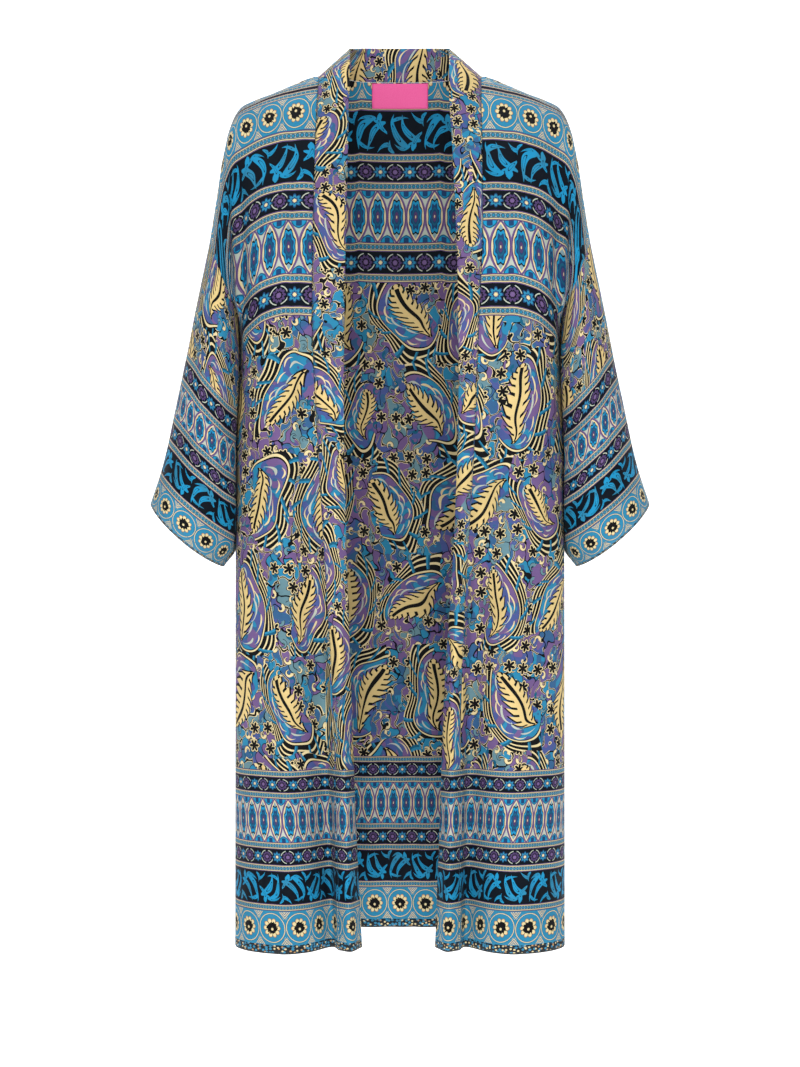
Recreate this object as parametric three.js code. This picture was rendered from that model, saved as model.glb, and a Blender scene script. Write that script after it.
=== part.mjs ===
import * as THREE from "three";

// Open-front kimono, worn shape with no wearer. Millimetres, +Z up, the front faces -Y.
// The origin lies on the centre line, level with the points where the neck meets the shoulders.
// +X is the wearer's left. Panels are thin walls: a grid of outer points, offset inwards.

const PANEL_WALL = 1.5; // one layer of light viscose, at the thinnest wall a solid can have and stay firm
const BAND_WALL = 2.6; // the bands are folded double
const LABEL_WALL = 1.0;
const SEAM_GAP = 0.32; // between two pieces along each seam
const HEM_Z = -996; // level of the hem below the shoulder points
const UNDERARM_Z = -289; // level of the lowest point of each armhole
const LABEL = { width: 66, height: 30, clear: 0.5 };

// Half of each front, as lengthwise threads of cloth from the shoulder seam (row ridge) to the hem.
// Each entry is [x outwards, y, z]; the thread named edge is the armhole and then the side seam.
const FRONT_ROWS = [
  { row: "ridge", seam: [93.6, 22, 4], inner: [108, 21, -1], rise: [122, 20, -6], bulge: [138, 19, -13], flank: [161, 17, -23], crease: [184, 15, -34], cap: [199, 13, -66], arm: [208, 12, -126] },
  { row: "cap", seam: [93.8, -8, -7], inner: [108, -7, -11], rise: [122, -6, -15], bulge: [138, -6, -21], flank: [162, -9, -34], crease: [188, -16, -58], cap: [201, -22, -98], arm: [209, -30, -150] },
  { row: "high", seam: [95, -38, -40], inner: [108, -38, -43], rise: [121, -38, -47], bulge: [136, -39, -54], flank: [161, -40, -72], crease: [187, -36, -104], cap: [196, -50, -150], arm: [202, -60, -190] },
  { row: "chest", seam: [96, -60, -100], inner: [108, -62, -102], rise: [120, -64, -106], bulge: [134, -66, -114], flank: [160, -63, -136], crease: [184.5, -48, -168], cap: [188.5, -60, -208], arm: [192.5, -64, -232] },
  { row: "deep", seam: [96, -72, -190], inner: [108, -74, -192], rise: [120, -77, -195], bulge: [132, -80, -200], flank: [158, -72, -216], crease: [180.5, -48, -240], cap: [182, -52, -262], arm: [184, -46, -277] },
  { row: "under", seam: [94, -76, -289], inner: [107, -79, -290], rise: [119, -83, -293], bulge: [132, -84, -297], flank: [157, -75, -306], crease: [175, -54, -318], cap: [180, -36, -318], arm: [182.5, -14, -306] },
  { row: "waist", seam: [89, -77, -420], inner: [101, -74, -420], rise: [115, -82, -420], bulge: [132, -86, -420], flank: [158, -74, -420], crease: [175, -54, -420], cap: [183.5, -34, -420], arm: [187.5, -14, -420] },
  { row: "hip", seam: [80, -74, -560], inner: [91, -66, -560], rise: [111, -79, -560], bulge: [131, -86, -560], flank: [157, -74, -560], crease: [175, -54, -560], cap: [184, -35, -560], arm: [188, -16, -560] },
  { row: "thigh", seam: [73, -68, -700], inner: [83, -54, -700], rise: [107, -76, -700], bulge: [130, -86, -700], flank: [155, -75, -700], crease: [174, -55, -700], cap: [184, -36, -700], arm: [188, -18, -700] },
  { row: "knee", seam: [70.5, -62, -850], inner: [80, -43, -850], rise: [105, -75, -850], bulge: [129, -88, -850], flank: [153, -77, -850], crease: [173, -57, -850], cap: [184, -38, -850], arm: [188, -20, -850] },
  { row: "hem", seam: [68, -60, HEM_Z], inner: [76, -35, HEM_Z], rise: [102, -74, HEM_Z], bulge: [128, -89, HEM_Z], flank: [152, -79, HEM_Z], crease: [173, -58, HEM_Z], cap: [184, -40, HEM_Z], arm: [188, -22, HEM_Z] },
];
const FRONT_THREADS = ["seam", "inner", "rise", "bulge", "flank", "crease", "cap", "arm", "edge"];
const FRONT_CELLS = [3, 2, 2, 2, 2, 2, 1, 2];

// Half of the back, from the centre line outwards. Its ridge row lies on the back neck, then on the front's.
const BACK_ROWS = [
  { row: "ridge", centre: [0, 74, 5], mid: [46, 68, 5], neck: [93.6, 22, 4], bulge: [138, 19, -13], crease: [184, 15, -34], cap: [199, 13, -66], arm: [208, 12, -126] },
  { row: "cap", centre: [0, 79, -11], mid: [46, 75, -10], neck: [92, 48, -6], bulge: [138, 44, -22], crease: [187, 44, -58], cap: [201, 46, -98], arm: [209, 52, -150] },
  { row: "high", centre: [0, 87, -42], mid: [47, 85, -42], neck: [92, 72, -40], bulge: [136, 67, -54], crease: [185, 60, -104], cap: [196, 72, -150], arm: [202, 81, -190] },
  { row: "chest", centre: [0, 95, -104], mid: [48, 95, -104], neck: [94, 91, -104], bulge: [134, 84, -116], crease: [182, 66, -168], cap: [188, 78, -208], arm: [192.5, 84, -232] },
  { row: "deep", centre: [0, 100, -194], mid: [49, 100, -194], neck: [96, 98, -194], bulge: [134, 88, -204], crease: [178, 64, -240], cap: [181, 70, -262], arm: [184, 65, -277] },
  { row: "under", centre: [0, 102, -289], mid: [50, 103, -289], neck: [97, 99, -290], bulge: [135, 86, -298], crease: [173, 60, -318], cap: [179, 44, -318], arm: [182, 28, -306] },
  { row: "waist", centre: [0, 102, -420], mid: [50, 104, -420], neck: [98, 99, -420], bulge: [136, 87, -420], crease: [173, 58, -420], cap: [183, 38, -420], arm: [187.5, 22, -420] },
  { row: "hip", centre: [0, 105, -560], mid: [51, 107, -560], neck: [99, 101, -560], bulge: [138, 88, -560], crease: [174, 58, -560], cap: [184, 36, -560], arm: [188, 20, -560] },
  { row: "thigh", centre: [0, 109, -700], mid: [51, 110, -700], neck: [99, 104, -700], bulge: [138, 90, -700], crease: [174, 60, -700], cap: [184, 38, -700], arm: [188, 20, -700] },
  { row: "knee", centre: [0, 113, -850], mid: [52, 114, -850], neck: [100, 107, -850], bulge: [138, 92, -850], crease: [174, 60, -850], cap: [184, 38, -850], arm: [188, 18, -850] },
  { row: "hem", centre: [0, 116, HEM_Z], mid: [52, 116, HEM_Z], neck: [100, 109, HEM_Z], bulge: [138, 94, HEM_Z], crease: [174, 60, HEM_Z], cap: [184, 38, HEM_Z], arm: [188, 16, HEM_Z] },
];
const BACK_THREADS = ["centre", "mid", "neck", "bulge", "crease", "cap", "arm", "edge"];
const BACK_CELLS = [2, 3, 7, 4, 2, 1, 2];

const ROW_CELLS = [3, 3, 3, 3, 3, 4, 4, 4, 4, 4]; // grid rows between two named rows
const ARMHOLE_ROWS = 5; // named rows from the ridge to the underarm
// Half of the armhole's ring, at each of those rows: how far down it is, and how deep, as shares.
const ARMHOLE_RING = [
  { down: 0, deep: 0 },
  { down: 0.1, deep: 0.62 },
  { down: 0.35, deep: 0.97 },
  { down: 0.6, deep: 0.95 },
  { down: 0.82, deep: 0.6 },
  { down: 1, deep: 0 },
];
const ARMHOLE = { topX: 219, topZ: -188, footX: 180, footZ: UNDERARM_Z, midY: 10, halfDepth: 78 };
const SIDE_SEAM = [
  { row: "under", x: 180, y: 10 },
  { row: "waist", x: 188.5, y: 5 },
  { row: "hip", x: 188.5, y: 3 },
  { row: "thigh", x: 188.5, y: 1 },
  { row: "knee", x: 188.5, y: -1 },
  { row: "hem", x: 188.5, y: -3 },
];

// Across each front band: where it is sewn to the front, and its free folded edge, by level.
const BAND_SEAM = {
  right: [[4, 93.6], [-46, 95], [-174, 97.9], [-289, 98.5], [-420, 93], [-560, 85], [-700, 77], [-850, 72.5], [HEM_Z, 68.9]],
  left: [[4, 93.6], [-46, 92.5], [-174, 93.5], [-289, 88.5], [-420, 84], [-560, 76], [-700, 69.8], [-850, 68.6], [HEM_Z, 66.8]],
};
const BAND_FREE = {
  right: [[4, 58], [-46, 57.4], [-174, 60.2], [-289, 62], [-376, 63], [-533, 59.6], [-713, 54], [-826, 50.6], [HEM_Z, 42.7]],
  left: [[4, 57], [-46, 55.5], [-100, 59], [-153, 61.9], [-289, 65], [-420, 64], [-533, 61.5], [-600, 54], [-646, 51.3], [-775, 47], [-874, 43.9], [HEM_Z, 39.4]],
};
// Depth of the middle and of the free edge of a band, and how far the free edge stands above the seam.
const BAND_ROWS = [
  { row: "ridge", midY: 24, freeY: 27, rise: 33 },
  { row: "cap", midY: -12, freeY: -9, rise: 27 },
  { row: "high", midY: -45, freeY: -44, rise: 12 },
  { row: "chest", midY: -64, freeY: -62, rise: 2 },
  { row: "deep", midY: -76, freeY: -73, rise: 0 },
  { row: "under", midY: -80, freeY: -76, rise: 0 },
  { row: "waist", midY: -82, freeY: -75, rise: 0 },
  { row: "hip", midY: -81, freeY: -72, rise: 0 },
  { row: "thigh", midY: -79, freeY: -64, rise: 0 },
  { row: "knee", midY: -75, freeY: -50, rise: 0 },
  { row: "hem", midY: -72, freeY: -38, rise: 0 },
];
const BAND_CELLS = 4;
const NECKBAND = { centreY: 68, centreZ: 44, midX: 42, midY: 63, midZ: 43.5 };

// Sleeve sections below the armhole: outer and inner ends of the section in the front view,
// its middle and half depth front to back, how far its front and back hang below the straight section,
// and how squarely it bends.
const SLEEVE_ROWS = [
  { outX: 234, outZ: -266, inX: 179, inZ: -336, midY: 9, halfDepth: 82, sag: 1, power: 2.2 },
  { outX: 253.5, outZ: -361, inX: 182, inZ: -443, midY: 7, halfDepth: 82, sag: 3, power: 2.3 },
  { outX: 271.5, outZ: -446, inX: 185, inZ: -537, midY: 4, halfDepth: 79, sag: 4, power: 2.3 },
  { outX: 286, outZ: -491.5, inX: 203, inZ: -564, midY: 2, halfDepth: 80, sag: 5.5, power: 2.2 },
];
const SLEEVE_CELLS = [5, 5, 5, 3];
const SLEEVE_CLEAR = [1.7, 2.6, 3, 3, 3]; // between the sleeve's inner side and the body, at each section

// Soft folds on the outer points: a line in the front view, its half width and its depth (a minus stands out).
const FOLDS = [
  { piece: "front_right", x0: -184, z0: -120, x1: -179, z1: -300, width: 8, depth: 5 },
  { piece: "front_left", x0: 184, z0: -120, x1: 179, z1: -300, width: 8, depth: 5 },
  { piece: "front_right", x0: -148, z0: -330, x1: -158, z1: -900, width: 14, depth: 4 },
  { piece: "front_left", x0: 146, z0: -380, x1: 156, z1: -940, width: 13, depth: 4 },
  { piece: "front_right", x0: -150, z0: -70, x1: -112, z1: -210, width: 12, depth: 2.5 },
  { piece: "front_left", x0: 150, z0: -70, x1: 110, z1: -215, width: 12, depth: 2.5 },
  { piece: "back", x0: -118, z0: -300, x1: -104, z1: HEM_Z, width: 18, depth: 6 },
  { piece: "back", x0: -62, z0: -480, x1: -66, z1: HEM_Z, width: 16, depth: -4 },
  { piece: "back", x0: 112, z0: -330, x1: 98, z1: HEM_Z, width: 18, depth: 6 },
  { piece: "back", x0: 66, z0: -520, x1: 60, z1: HEM_Z, width: 16, depth: -4 },
  { piece: "sleeve_right", x0: -226, z0: -280, x1: -246, z1: -470, width: 11, depth: 3 },
  { piece: "sleeve_left", x0: 226, z0: -280, x1: 246, z1: -470, width: 11, depth: 3 },
];

const vec = (a) => new THREE.Vector3(...a);

function smoothThrough(points, cells) {
  const curve = new THREE.CatmullRomCurve3(points, false, "centripetal");
  const made = [points[0].clone()];
  cells.forEach((n, i) => {
    for (let k = 1; k <= n; k++) {
      const u = (i + k / n) / (points.length - 1);
      made.push(curve.getPoint(Math.min(u, 1)));
    }
  });
  return made;
}

// A grid through the named points: across each named row first, then along each column.
// From column `turnFrom` on, the cloth turns at the underarm, so the curve is made in two parts there.
function loft(keyRows, acrossCells, alongCells, turnFrom = Infinity) {
  const across = keyRows.map((points) => smoothThrough(points, acrossCells));
  const columns = across[0].map((_, j) => {
    const points = across.map((r) => r[j]);
    if (j < turnFrom) return smoothThrough(points, alongCells);
    const upper = smoothThrough(points.slice(0, ARMHOLE_ROWS + 1), alongCells.slice(0, ARMHOLE_ROWS));
    const lower = smoothThrough(points.slice(ARMHOLE_ROWS), alongCells.slice(ARMHOLE_ROWS));
    return [...upper, ...lower.slice(1)];
  });
  return columns[0].map((_, i) => columns.map((c) => c[i]));
}

function atLevel(table, z) {
  const next = table.findIndex(([level]) => level <= z);
  if (next === 0) return table[0][1];
  if (next < 0) return table[table.length - 1][1];
  const [z0, v0] = table[next - 1];
  const [z1, v1] = table[next];
  return v0 + ((v1 - v0) * (z0 - z)) / (z0 - z1);
}

// The armhole's half ring: from the top of the sleeve round the front (towards -1) or back to the underarm.
function armholePoint(step, towards) {
  const { down, deep } = ARMHOLE_RING[step];
  return new THREE.Vector3(
    ARMHOLE.topX + (ARMHOLE.footX - ARMHOLE.topX) * down,
    ARMHOLE.midY + towards * ARMHOLE.halfDepth * deep,
    ARMHOLE.topZ + (ARMHOLE.footZ - ARMHOLE.topZ) * down,
  );
}

function edgePoint(i, z, towards) {
  if (i <= ARMHOLE_ROWS) return armholePoint(i, towards);
  const s = SIDE_SEAM[i - ARMHOLE_ROWS];
  return new THREE.Vector3(s.x, s.y, z);
}

const THREAD_SHARE = { seam: 1, inner: 1, rise: 0.5, bulge: 0.15 }; // how far a thread follows its band's seam

function frontKeys(side) {
  return FRONT_ROWS.map((row, i) => {
    const shift = atLevel(BAND_SEAM[side], row.seam[2]) - row.seam[0];
    return FRONT_THREADS.map((name) => {
      if (name === "edge") return edgePoint(i, row.seam[2], -1);
      const p = vec(row[name]);
      p.x += shift * (THREAD_SHARE[name] || 0);
      return p;
    });
  });
}

// Turned so that every grid has its outer face on the same side: columns run left to right seen from outside.
const flipped = (grid) => grid.map((row) => row.slice().reverse());
const sumOf = (cells) => cells.reduce((a, b) => a + b, 0);
const mirrored = (grid) => grid.map((row) => row.map((p) => new THREE.Vector3(-p.x, p.y, p.z)));

const frontGrid = {
  left: loft(frontKeys("left"), FRONT_CELLS, ROW_CELLS, sumOf(FRONT_CELLS.slice(0, -1)) + 1),
  right: mirrored(loft(frontKeys("right"), FRONT_CELLS, ROW_CELLS, sumOf(FRONT_CELLS.slice(0, -1)) + 1)),
};

const backHalf = loft(
  BACK_ROWS.map((row, i) =>
    BACK_THREADS.map((name) => (name === "edge" ? edgePoint(i, row.centre[2], 1) : vec(row[name]))),
  ),
  BACK_CELLS,
  ROW_CELLS,
  sumOf(BACK_CELLS.slice(0, -1)) + 1,
);
const neckCells = BACK_CELLS[0] + BACK_CELLS[1];
const armholeCells = sumOf(ROW_CELLS.slice(0, ARMHOLE_ROWS));

// The back takes the fronts' own points along the shoulders and the side seams, so that the seams close.
function backSide(side) {
  const flip = side === "right" ? -1 : 1;
  const grid = backHalf.map((row) => row.map((p) => new THREE.Vector3(flip * p.x, p.y, p.z)));
  const front = frontGrid[side];
  const last = front[0].length - 1;
  front[0].forEach((p, j) => grid[0][neckCells + j].copy(p));
  for (let i = armholeCells; i < grid.length; i++) grid[i][neckCells + last].copy(front[i][last]);
  return grid;
}
const backLeft = backSide("left");
const backRight = backSide("right");
const backGrid = backLeft.map((row, i) => [...backRight[i].slice(1).reverse(), ...row]);

function bandGrid(side) {
  const flip = side === "right" ? -1 : 1;
  const front = frontGrid[side];
  const rowStarts = [0];
  ROW_CELLS.forEach((n) => rowStarts.push(rowStarts[rowStarts.length - 1] + n));
  const keys = BAND_ROWS.map((band, i) => {
    const seam = front[rowStarts[i]][0].clone();
    const freeX = flip * atLevel(BAND_FREE[side], seam.z);
    const free = new THREE.Vector3(freeX, band.freeY, seam.z + band.rise);
    const mid = new THREE.Vector3((seam.x + freeX) / 2, band.midY, seam.z + band.rise / 2);
    return [seam, mid, free];
  });
  const grid = loft(keys, [BAND_CELLS / 2, BAND_CELLS / 2], ROW_CELLS);
  grid.forEach((row, i) => row[0].copy(front[i][0]));
  return grid;
}
const bands = { left: bandGrid("left"), right: bandGrid("right") };

// The neckband stands on the back neck and meets the top ends of both bands.
function neckbandGrid() {
  const first = backGrid[0].length / 2 - 0.5 - neckCells;
  const base = backGrid[0].slice(first, first + 2 * neckCells + 1);
  const topEnd = { right: bands.right[0][BAND_CELLS], left: bands.left[0][BAND_CELLS] };
  const top = smoothThrough(
    [
      topEnd.right,
      new THREE.Vector3(-NECKBAND.midX, NECKBAND.midY, NECKBAND.midZ),
      new THREE.Vector3(0, NECKBAND.centreY, NECKBAND.centreZ),
      new THREE.Vector3(NECKBAND.midX, NECKBAND.midY, NECKBAND.midZ),
      topEnd.left,
    ],
    [3, 2, 2, 3],
  );
  const last = base.length - 1;
  return base.map((foot, j) => {
    const column = [];
    for (let k = 0; k <= BAND_CELLS; k++) column.push(foot.clone().lerp(top[j], k / BAND_CELLS));
    if (j === 0) column.forEach((p, k) => p.copy(bands.right[0][k]));
    if (j === last) column.forEach((p, k) => p.copy(bands.left[0][k]));
    return column;
  });
}

// How far out the body's side stands at one depth and level: the outermost face that a line along X meets.
function bodySide(side, y, z) {
  let most = 0;
  for (const grid of [frontGrid[side], side === "left" ? backLeft : backRight]) {
    for (let i = armholeCells - 6; i < grid.length - 1; i++) {
      const [upper, lower] = [grid[i], grid[i + 1]];
      for (let j = upper.length - 10; j < upper.length - 1; j++) {
        const [a, b, c, d] = [upper[j], upper[j + 1], lower[j + 1], lower[j]];
        most = Math.max(most, faceReach(a, b, c, y, z), faceReach(a, c, d, y, z));
      }
    }
  }
  return most;
}

function faceReach(a, b, c, y, z) {
  const area = (b.y - a.y) * (c.z - a.z) - (c.y - a.y) * (b.z - a.z);
  if (Math.abs(area) < 1e-9) return 0;
  const u = ((y - a.y) * (c.z - a.z) - (c.y - a.y) * (z - a.z)) / area;
  const v = ((b.y - a.y) * (z - a.z) - (y - a.y) * (b.z - a.z)) / area;
  if (u < 0 || v < 0 || u + v > 1) return 0;
  return Math.abs(a.x + u * (b.x - a.x) + v * (c.x - a.x));
}

function sleeveGrid(side) {
  const flip = side === "right" ? -1 : 1;
  const front = frontGrid[side];
  const back = side === "left" ? backLeft : backRight;
  const armFront = front.slice(0, armholeCells + 1).map((row) => row[row.length - 1]);
  const armBack = back.slice(0, armholeCells + 1).map((row) => row[row.length - 1]);
  const ring0 = [...armFront, ...armBack.slice(1, -1).reverse()].map(
    (p) => new THREE.Vector3(Math.abs(p.x), p.y, p.z),
  );
  const count = ring0.length;
  const rings = SLEEVE_ROWS.map((s) => {
    const out = new THREE.Vector3(s.outX, s.midY, s.outZ);
    const into = new THREE.Vector3(s.inX, s.midY, s.inZ);
    const centre = out.clone().lerp(into, 0.5);
    const half = out.clone().sub(into).multiplyScalar(0.5);
    const down = new THREE.Vector3(half.z, 0, -half.x).normalize();
    if (down.z > 0) down.negate();
    return ring0.map((_, k) => {
      const angle = (2 * Math.PI * k) / count;
      const [c, d] = [Math.cos(angle), Math.sin(angle)];
      const square = (v) => Math.sign(v) * Math.abs(v) ** (2 / s.power);
      const p = centre.clone().addScaledVector(half, square(c));
      p.y -= s.halfDepth * square(d);
      return p.addScaledVector(down, s.sag * d * d);
    });
  });
  const columns = ring0.map((p, k) => smoothThrough([p, ...rings.map((r) => r[k])], SLEEVE_CELLS));
  const grid = columns[0].map((_, i) => columns.map((c) => c[i]));
  const steps = grid.length - 1;
  grid.forEach((ring, i) => {
    const at = (i / steps) * (SLEEVE_CLEAR.length - 1);
    const low = Math.min(Math.floor(at), SLEEVE_CLEAR.length - 2);
    const clear = SLEEVE_CLEAR[low] + (SLEEVE_CLEAR[low + 1] - SLEEVE_CLEAR[low]) * (at - low);
    ring.forEach((p) => {
      const reach = i === 0 ? 0 : bodySide(side, p.y, p.z);
      if (p.x < reach + clear && p.x > reach - 30) p.x = reach + clear;
      p.x *= flip;
    });
  });
  return grid;
}

function pressFolds(name, grid, closed) {
  const folds = FOLDS.filter((f) => f.piece === name);
  if (!folds.length) return grid;
  const normals = gridNormals(grid, closed);
  const cols = grid[0].length;
  return grid.map((row, i) =>
    row.map((p, j) => {
      const onBack = p.y > 20;
      const inset = Math.min(i, closed ? 2 : Math.min(j, cols - 1 - j)); // seams keep their line
      const hold = Math.min(1, inset / 2);
      let depth = 0;
      for (const f of folds) {
        if (name.startsWith("sleeve") && onBack) continue;
        const [dx, dz] = [f.x1 - f.x0, f.z1 - f.z0];
        const t = Math.min(1, Math.max(0, ((p.x - f.x0) * dx + (p.z - f.z0) * dz) / (dx * dx + dz * dz)));
        const away = Math.hypot(p.x - f.x0 - t * dx, p.z - f.z0 - t * dz) / f.width;
        const fade = Math.min(1, 4 * t, f.z1 === HEM_Z ? 1 : 4 * (1 - t));
        depth += f.depth * fade * Math.exp(-away * away);
      }
      return p.clone().addScaledVector(normals[i][j], -depth * hold);
    }),
  );
}

// Normals that point out of the garment, for a grid whose rows run down and whose columns run to the right.
function gridNormals(grid, closed) {
  const rows = grid.length;
  const cols = grid[0].length;
  const at = (i, j) =>
    grid[Math.min(rows - 1, Math.max(0, i))][closed ? (j + cols) % cols : Math.min(cols - 1, Math.max(0, j))];
  return grid.map((row, i) =>
    row.map((_, j) => {
      const along = at(i + 1, j).clone().sub(at(i - 1, j));
      const across = at(i, j + 1).clone().sub(at(i, j - 1));
      return along.cross(across).normalize();
    }),
  );
}

// Front left (+X) runs outwards from its band, so seen from outside its columns run left to right.
const pieces = {
  back: { grid: flipped(backGrid), wall: PANEL_WALL },
  front_right: { grid: flipped(frontGrid.right), wall: PANEL_WALL },
  front_left: { grid: frontGrid.left, wall: PANEL_WALL },
  band_right: { grid: bands.right, wall: BAND_WALL },
  band_left: { grid: flipped(bands.left), wall: BAND_WALL },
};
const neckband = neckbandGrid();
const neckRows = neckband[0].map((_, k) => neckband.map((column) => column[k])).reverse();
pieces.neckband = { grid: flipped(neckRows), wall: BAND_WALL };
pieces.sleeve_left = { grid: flipped(sleeveGrid("left")), wall: PANEL_WALL, closed: true };
pieces.sleeve_right = { grid: sleeveGrid("right"), wall: PANEL_WALL, closed: true };

for (const [name, piece] of Object.entries(pieces)) {
  piece.grid = pressFolds(name, piece.grid, piece.closed);
  piece.normals = gridNormals(piece.grid, piece.closed);
}

// Where two pieces share a seam point, both take the mean direction, so that their cut edges stay parallel.
// Where a sleeve folds back beside the body, at the underarm, its edge is set just outside instead.
const shared = new Map();
const keyOf = (p) => [p.x, p.y, p.z].map((v) => Math.round(v * 20)).join(",");
for (const [name, piece] of Object.entries(pieces)) {
  piece.grid.forEach((row, i) =>
    row.forEach((point, j) => {
      const key = keyOf(point);
      if (!shared.has(key)) shared.set(key, []);
      shared.get(key).push({ name, point, normal: piece.normals[i][j] });
    }),
  );
}
const UNDERARM_STEP = 1.7; // how far outside the body's edge the sleeve's edge lies at the underarm
for (const group of shared.values()) {
  if (group.length < 2) continue;
  const sleeve = group.find((g) => g.name.startsWith("sleeve"));
  const others = group.filter((g) => g !== sleeve);
  const mean = others.reduce((sum, g) => sum.add(g.normal), new THREE.Vector3()).normalize();
  if (sleeve) {
    const turn = sleeve.normal.dot(mean);
    sleeve.point.addScaledVector(mean, UNDERARM_STEP * Math.min(1, Math.max(0, (0.6 - turn) / 0.6)));
    if (turn > 0) {
      mean.add(sleeve.normal).normalize();
      sleeve.normal.copy(mean);
    }
  }
  others.forEach((g) => g.normal.copy(mean));
}

// Draws the outer edges of a grid back by half a seam gap, along the cloth.
function trimmed(grid, closed) {
  const rows = grid.length;
  const cols = grid[0].length;
  const half = closed ? SEAM_GAP : SEAM_GAP / 2; // a sleeve's curved edge needs the whole gap
  const towards = (from, to) => to.clone().sub(from).normalize().multiplyScalar(half);
  return grid.map((row, i) =>
    row.map((p, j) => {
      const q = p.clone();
      if (i === 0) q.add(towards(p, grid[1][j]));
      if (i === rows - 1) q.add(towards(p, grid[rows - 2][j]));
      if (!closed && j === 0) q.add(towards(p, row[1]));
      if (!closed && j === cols - 1) q.add(towards(p, row[cols - 2]));
      return q;
    }),
  );
}

// A closed wall from a grid of outer points and the same grid set in by the wall's thickness.
function wallGeometry(grid, normals, wall, closed) {
  const outer = trimmed(grid, closed);
  const rows = outer.length;
  const cols = outer[0].length;
  const positions = [];
  for (const layer of [0, 1]) {
    outer.forEach((row, i) =>
      row.forEach((p, j) => {
        const q = p.clone().addScaledVector(normals[i][j], -wall * layer);
        positions.push(q.x, q.y, q.z);
      }),
    );
  }
  const at = (layer, i, j) => layer * rows * cols + i * cols + (closed ? j % cols : j);
  const index = [];
  const quad = (a, b, c, d) => index.push(a, b, c, a, c, d);
  const corner = (n) => new THREE.Vector3(...positions.slice(3 * n, 3 * n + 3));
  // A twisted edge face is split along the diagonal that keeps it back from its neighbour.
  const edgeQuad = (a, b, c, d) => {
    const [pa, pb, pc, pd] = [a, b, c, d].map(corner);
    const out = pc.clone().sub(pa).cross(pd.clone().sub(pb));
    const lift = pa.add(pc).sub(pb).sub(pd).dot(out);
    if (lift <= 0) quad(a, b, c, d);
    else quad(b, c, d, a);
  };
  const spans = closed ? cols : cols - 1;
  for (let i = 0; i < rows - 1; i++) {
    for (let j = 0; j < spans; j++) {
      quad(at(0, i, j), at(0, i + 1, j), at(0, i + 1, j + 1), at(0, i, j + 1));
      quad(at(1, i, j), at(1, i, j + 1), at(1, i + 1, j + 1), at(1, i + 1, j));
    }
  }
  for (let j = 0; j < spans; j++) {
    edgeQuad(at(0, 0, j), at(0, 0, j + 1), at(1, 0, j + 1), at(1, 0, j));
    edgeQuad(at(0, rows - 1, j), at(1, rows - 1, j), at(1, rows - 1, j + 1), at(0, rows - 1, j + 1));
  }
  if (!closed) {
    for (let i = 0; i < rows - 1; i++) {
      edgeQuad(at(0, i, 0), at(1, i, 0), at(1, i + 1, 0), at(0, i + 1, 0));
      edgeQuad(at(0, i, cols - 1), at(0, i + 1, cols - 1), at(1, i + 1, cols - 1), at(1, i, cols - 1));
    }
  }
  const geometry = new THREE.BufferGeometry();
  geometry.setAttribute("position", new THREE.Float32BufferAttribute(positions, 3));
  geometry.setIndex(index);
  return geometry.toNonIndexed();
}

// The label lies on the inside of the back, just under the neck seam: the back's own points, moved inwards.
function labelPiece() {
  const half = LABEL.width / 2;
  const grid = [];
  for (let i = 0; i <= 4; i++) {
    const row = [];
    for (let j = 0; j <= 6; j++) {
      const x = -half + (LABEL.width * j) / 6;
      const fall = 1.5 + (LABEL.height * i) / 4;
      row.push(backPoint(x, fall).add(new THREE.Vector3(0, -(PANEL_WALL + LABEL.clear + LABEL_WALL + 0.02 * fall), 0)));
    }
    grid.push(row);
  }
  return { grid, wall: LABEL_WALL };
}

// The outer point of the back at one x, a given fall of cloth below the neck seam.
function backPoint(x, fall) {
  const columns = backGrid[0].map((_, j) => backGrid.map((row) => row[j]));
  const walk = columns.map((column) => {
    let left = fall;
    for (let i = 1; i < column.length; i++) {
      const step = column[i].distanceTo(column[i - 1]);
      if (left <= step) return column[i - 1].clone().lerp(column[i], left / step);
      left -= step;
    }
    return column[column.length - 1].clone();
  });
  for (let j = 1; j < walk.length; j++) {
    if (walk[j].x < x) continue;
    const t = (x - walk[j - 1].x) / (walk[j].x - walk[j - 1].x);
    return walk[j - 1].clone().lerp(walk[j], t);
  }
  return walk[walk.length - 1].clone();
}
const label = labelPiece();
label.normals = gridNormals(label.grid, false);
pieces.label = label;

const LOOKS = {
  panel: { color: 0x5b7fa6, roughness: 0.78, metalness: 0 },
  band: { color: 0x6f7796, roughness: 0.78, metalness: 0 },
  label: { color: 0xf25fae, roughness: 0.6, metalness: 0 },
};
const lookOf = (name) => (name === "label" ? "label" : name.includes("band") ? "band" : "panel");

const kimono = new THREE.Group();
for (const [name, piece] of Object.entries(pieces)) {
  const geometry = wallGeometry(piece.grid, piece.normals, piece.wall, piece.closed);
  const look = lookOf(name);
  const material = new THREE.MeshStandardMaterial(LOOKS[look]);
  material.name = look;
  const mesh = new THREE.Mesh(geometry, material);
  mesh.name = name;
  kimono.add(mesh);
}

export default kimono;
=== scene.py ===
# %% [markdown]
# # A printed kimono robe
# The real robe is light viscose crepe, cut as a back, two fronts, two wide sleeves, two long front
# bands and a short standing neckband, with a woven label inside the back neck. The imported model
# gives its solids. This lesson dresses each of them in a thin, finer shell of cloth with a print
# worked out by shader nodes, so that nothing is painted by hand and nothing is an image.

# %% Load the frame
import math
import bpy
import numpy as np
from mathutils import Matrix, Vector
from mathutils.bvhtree import BVHTree


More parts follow.
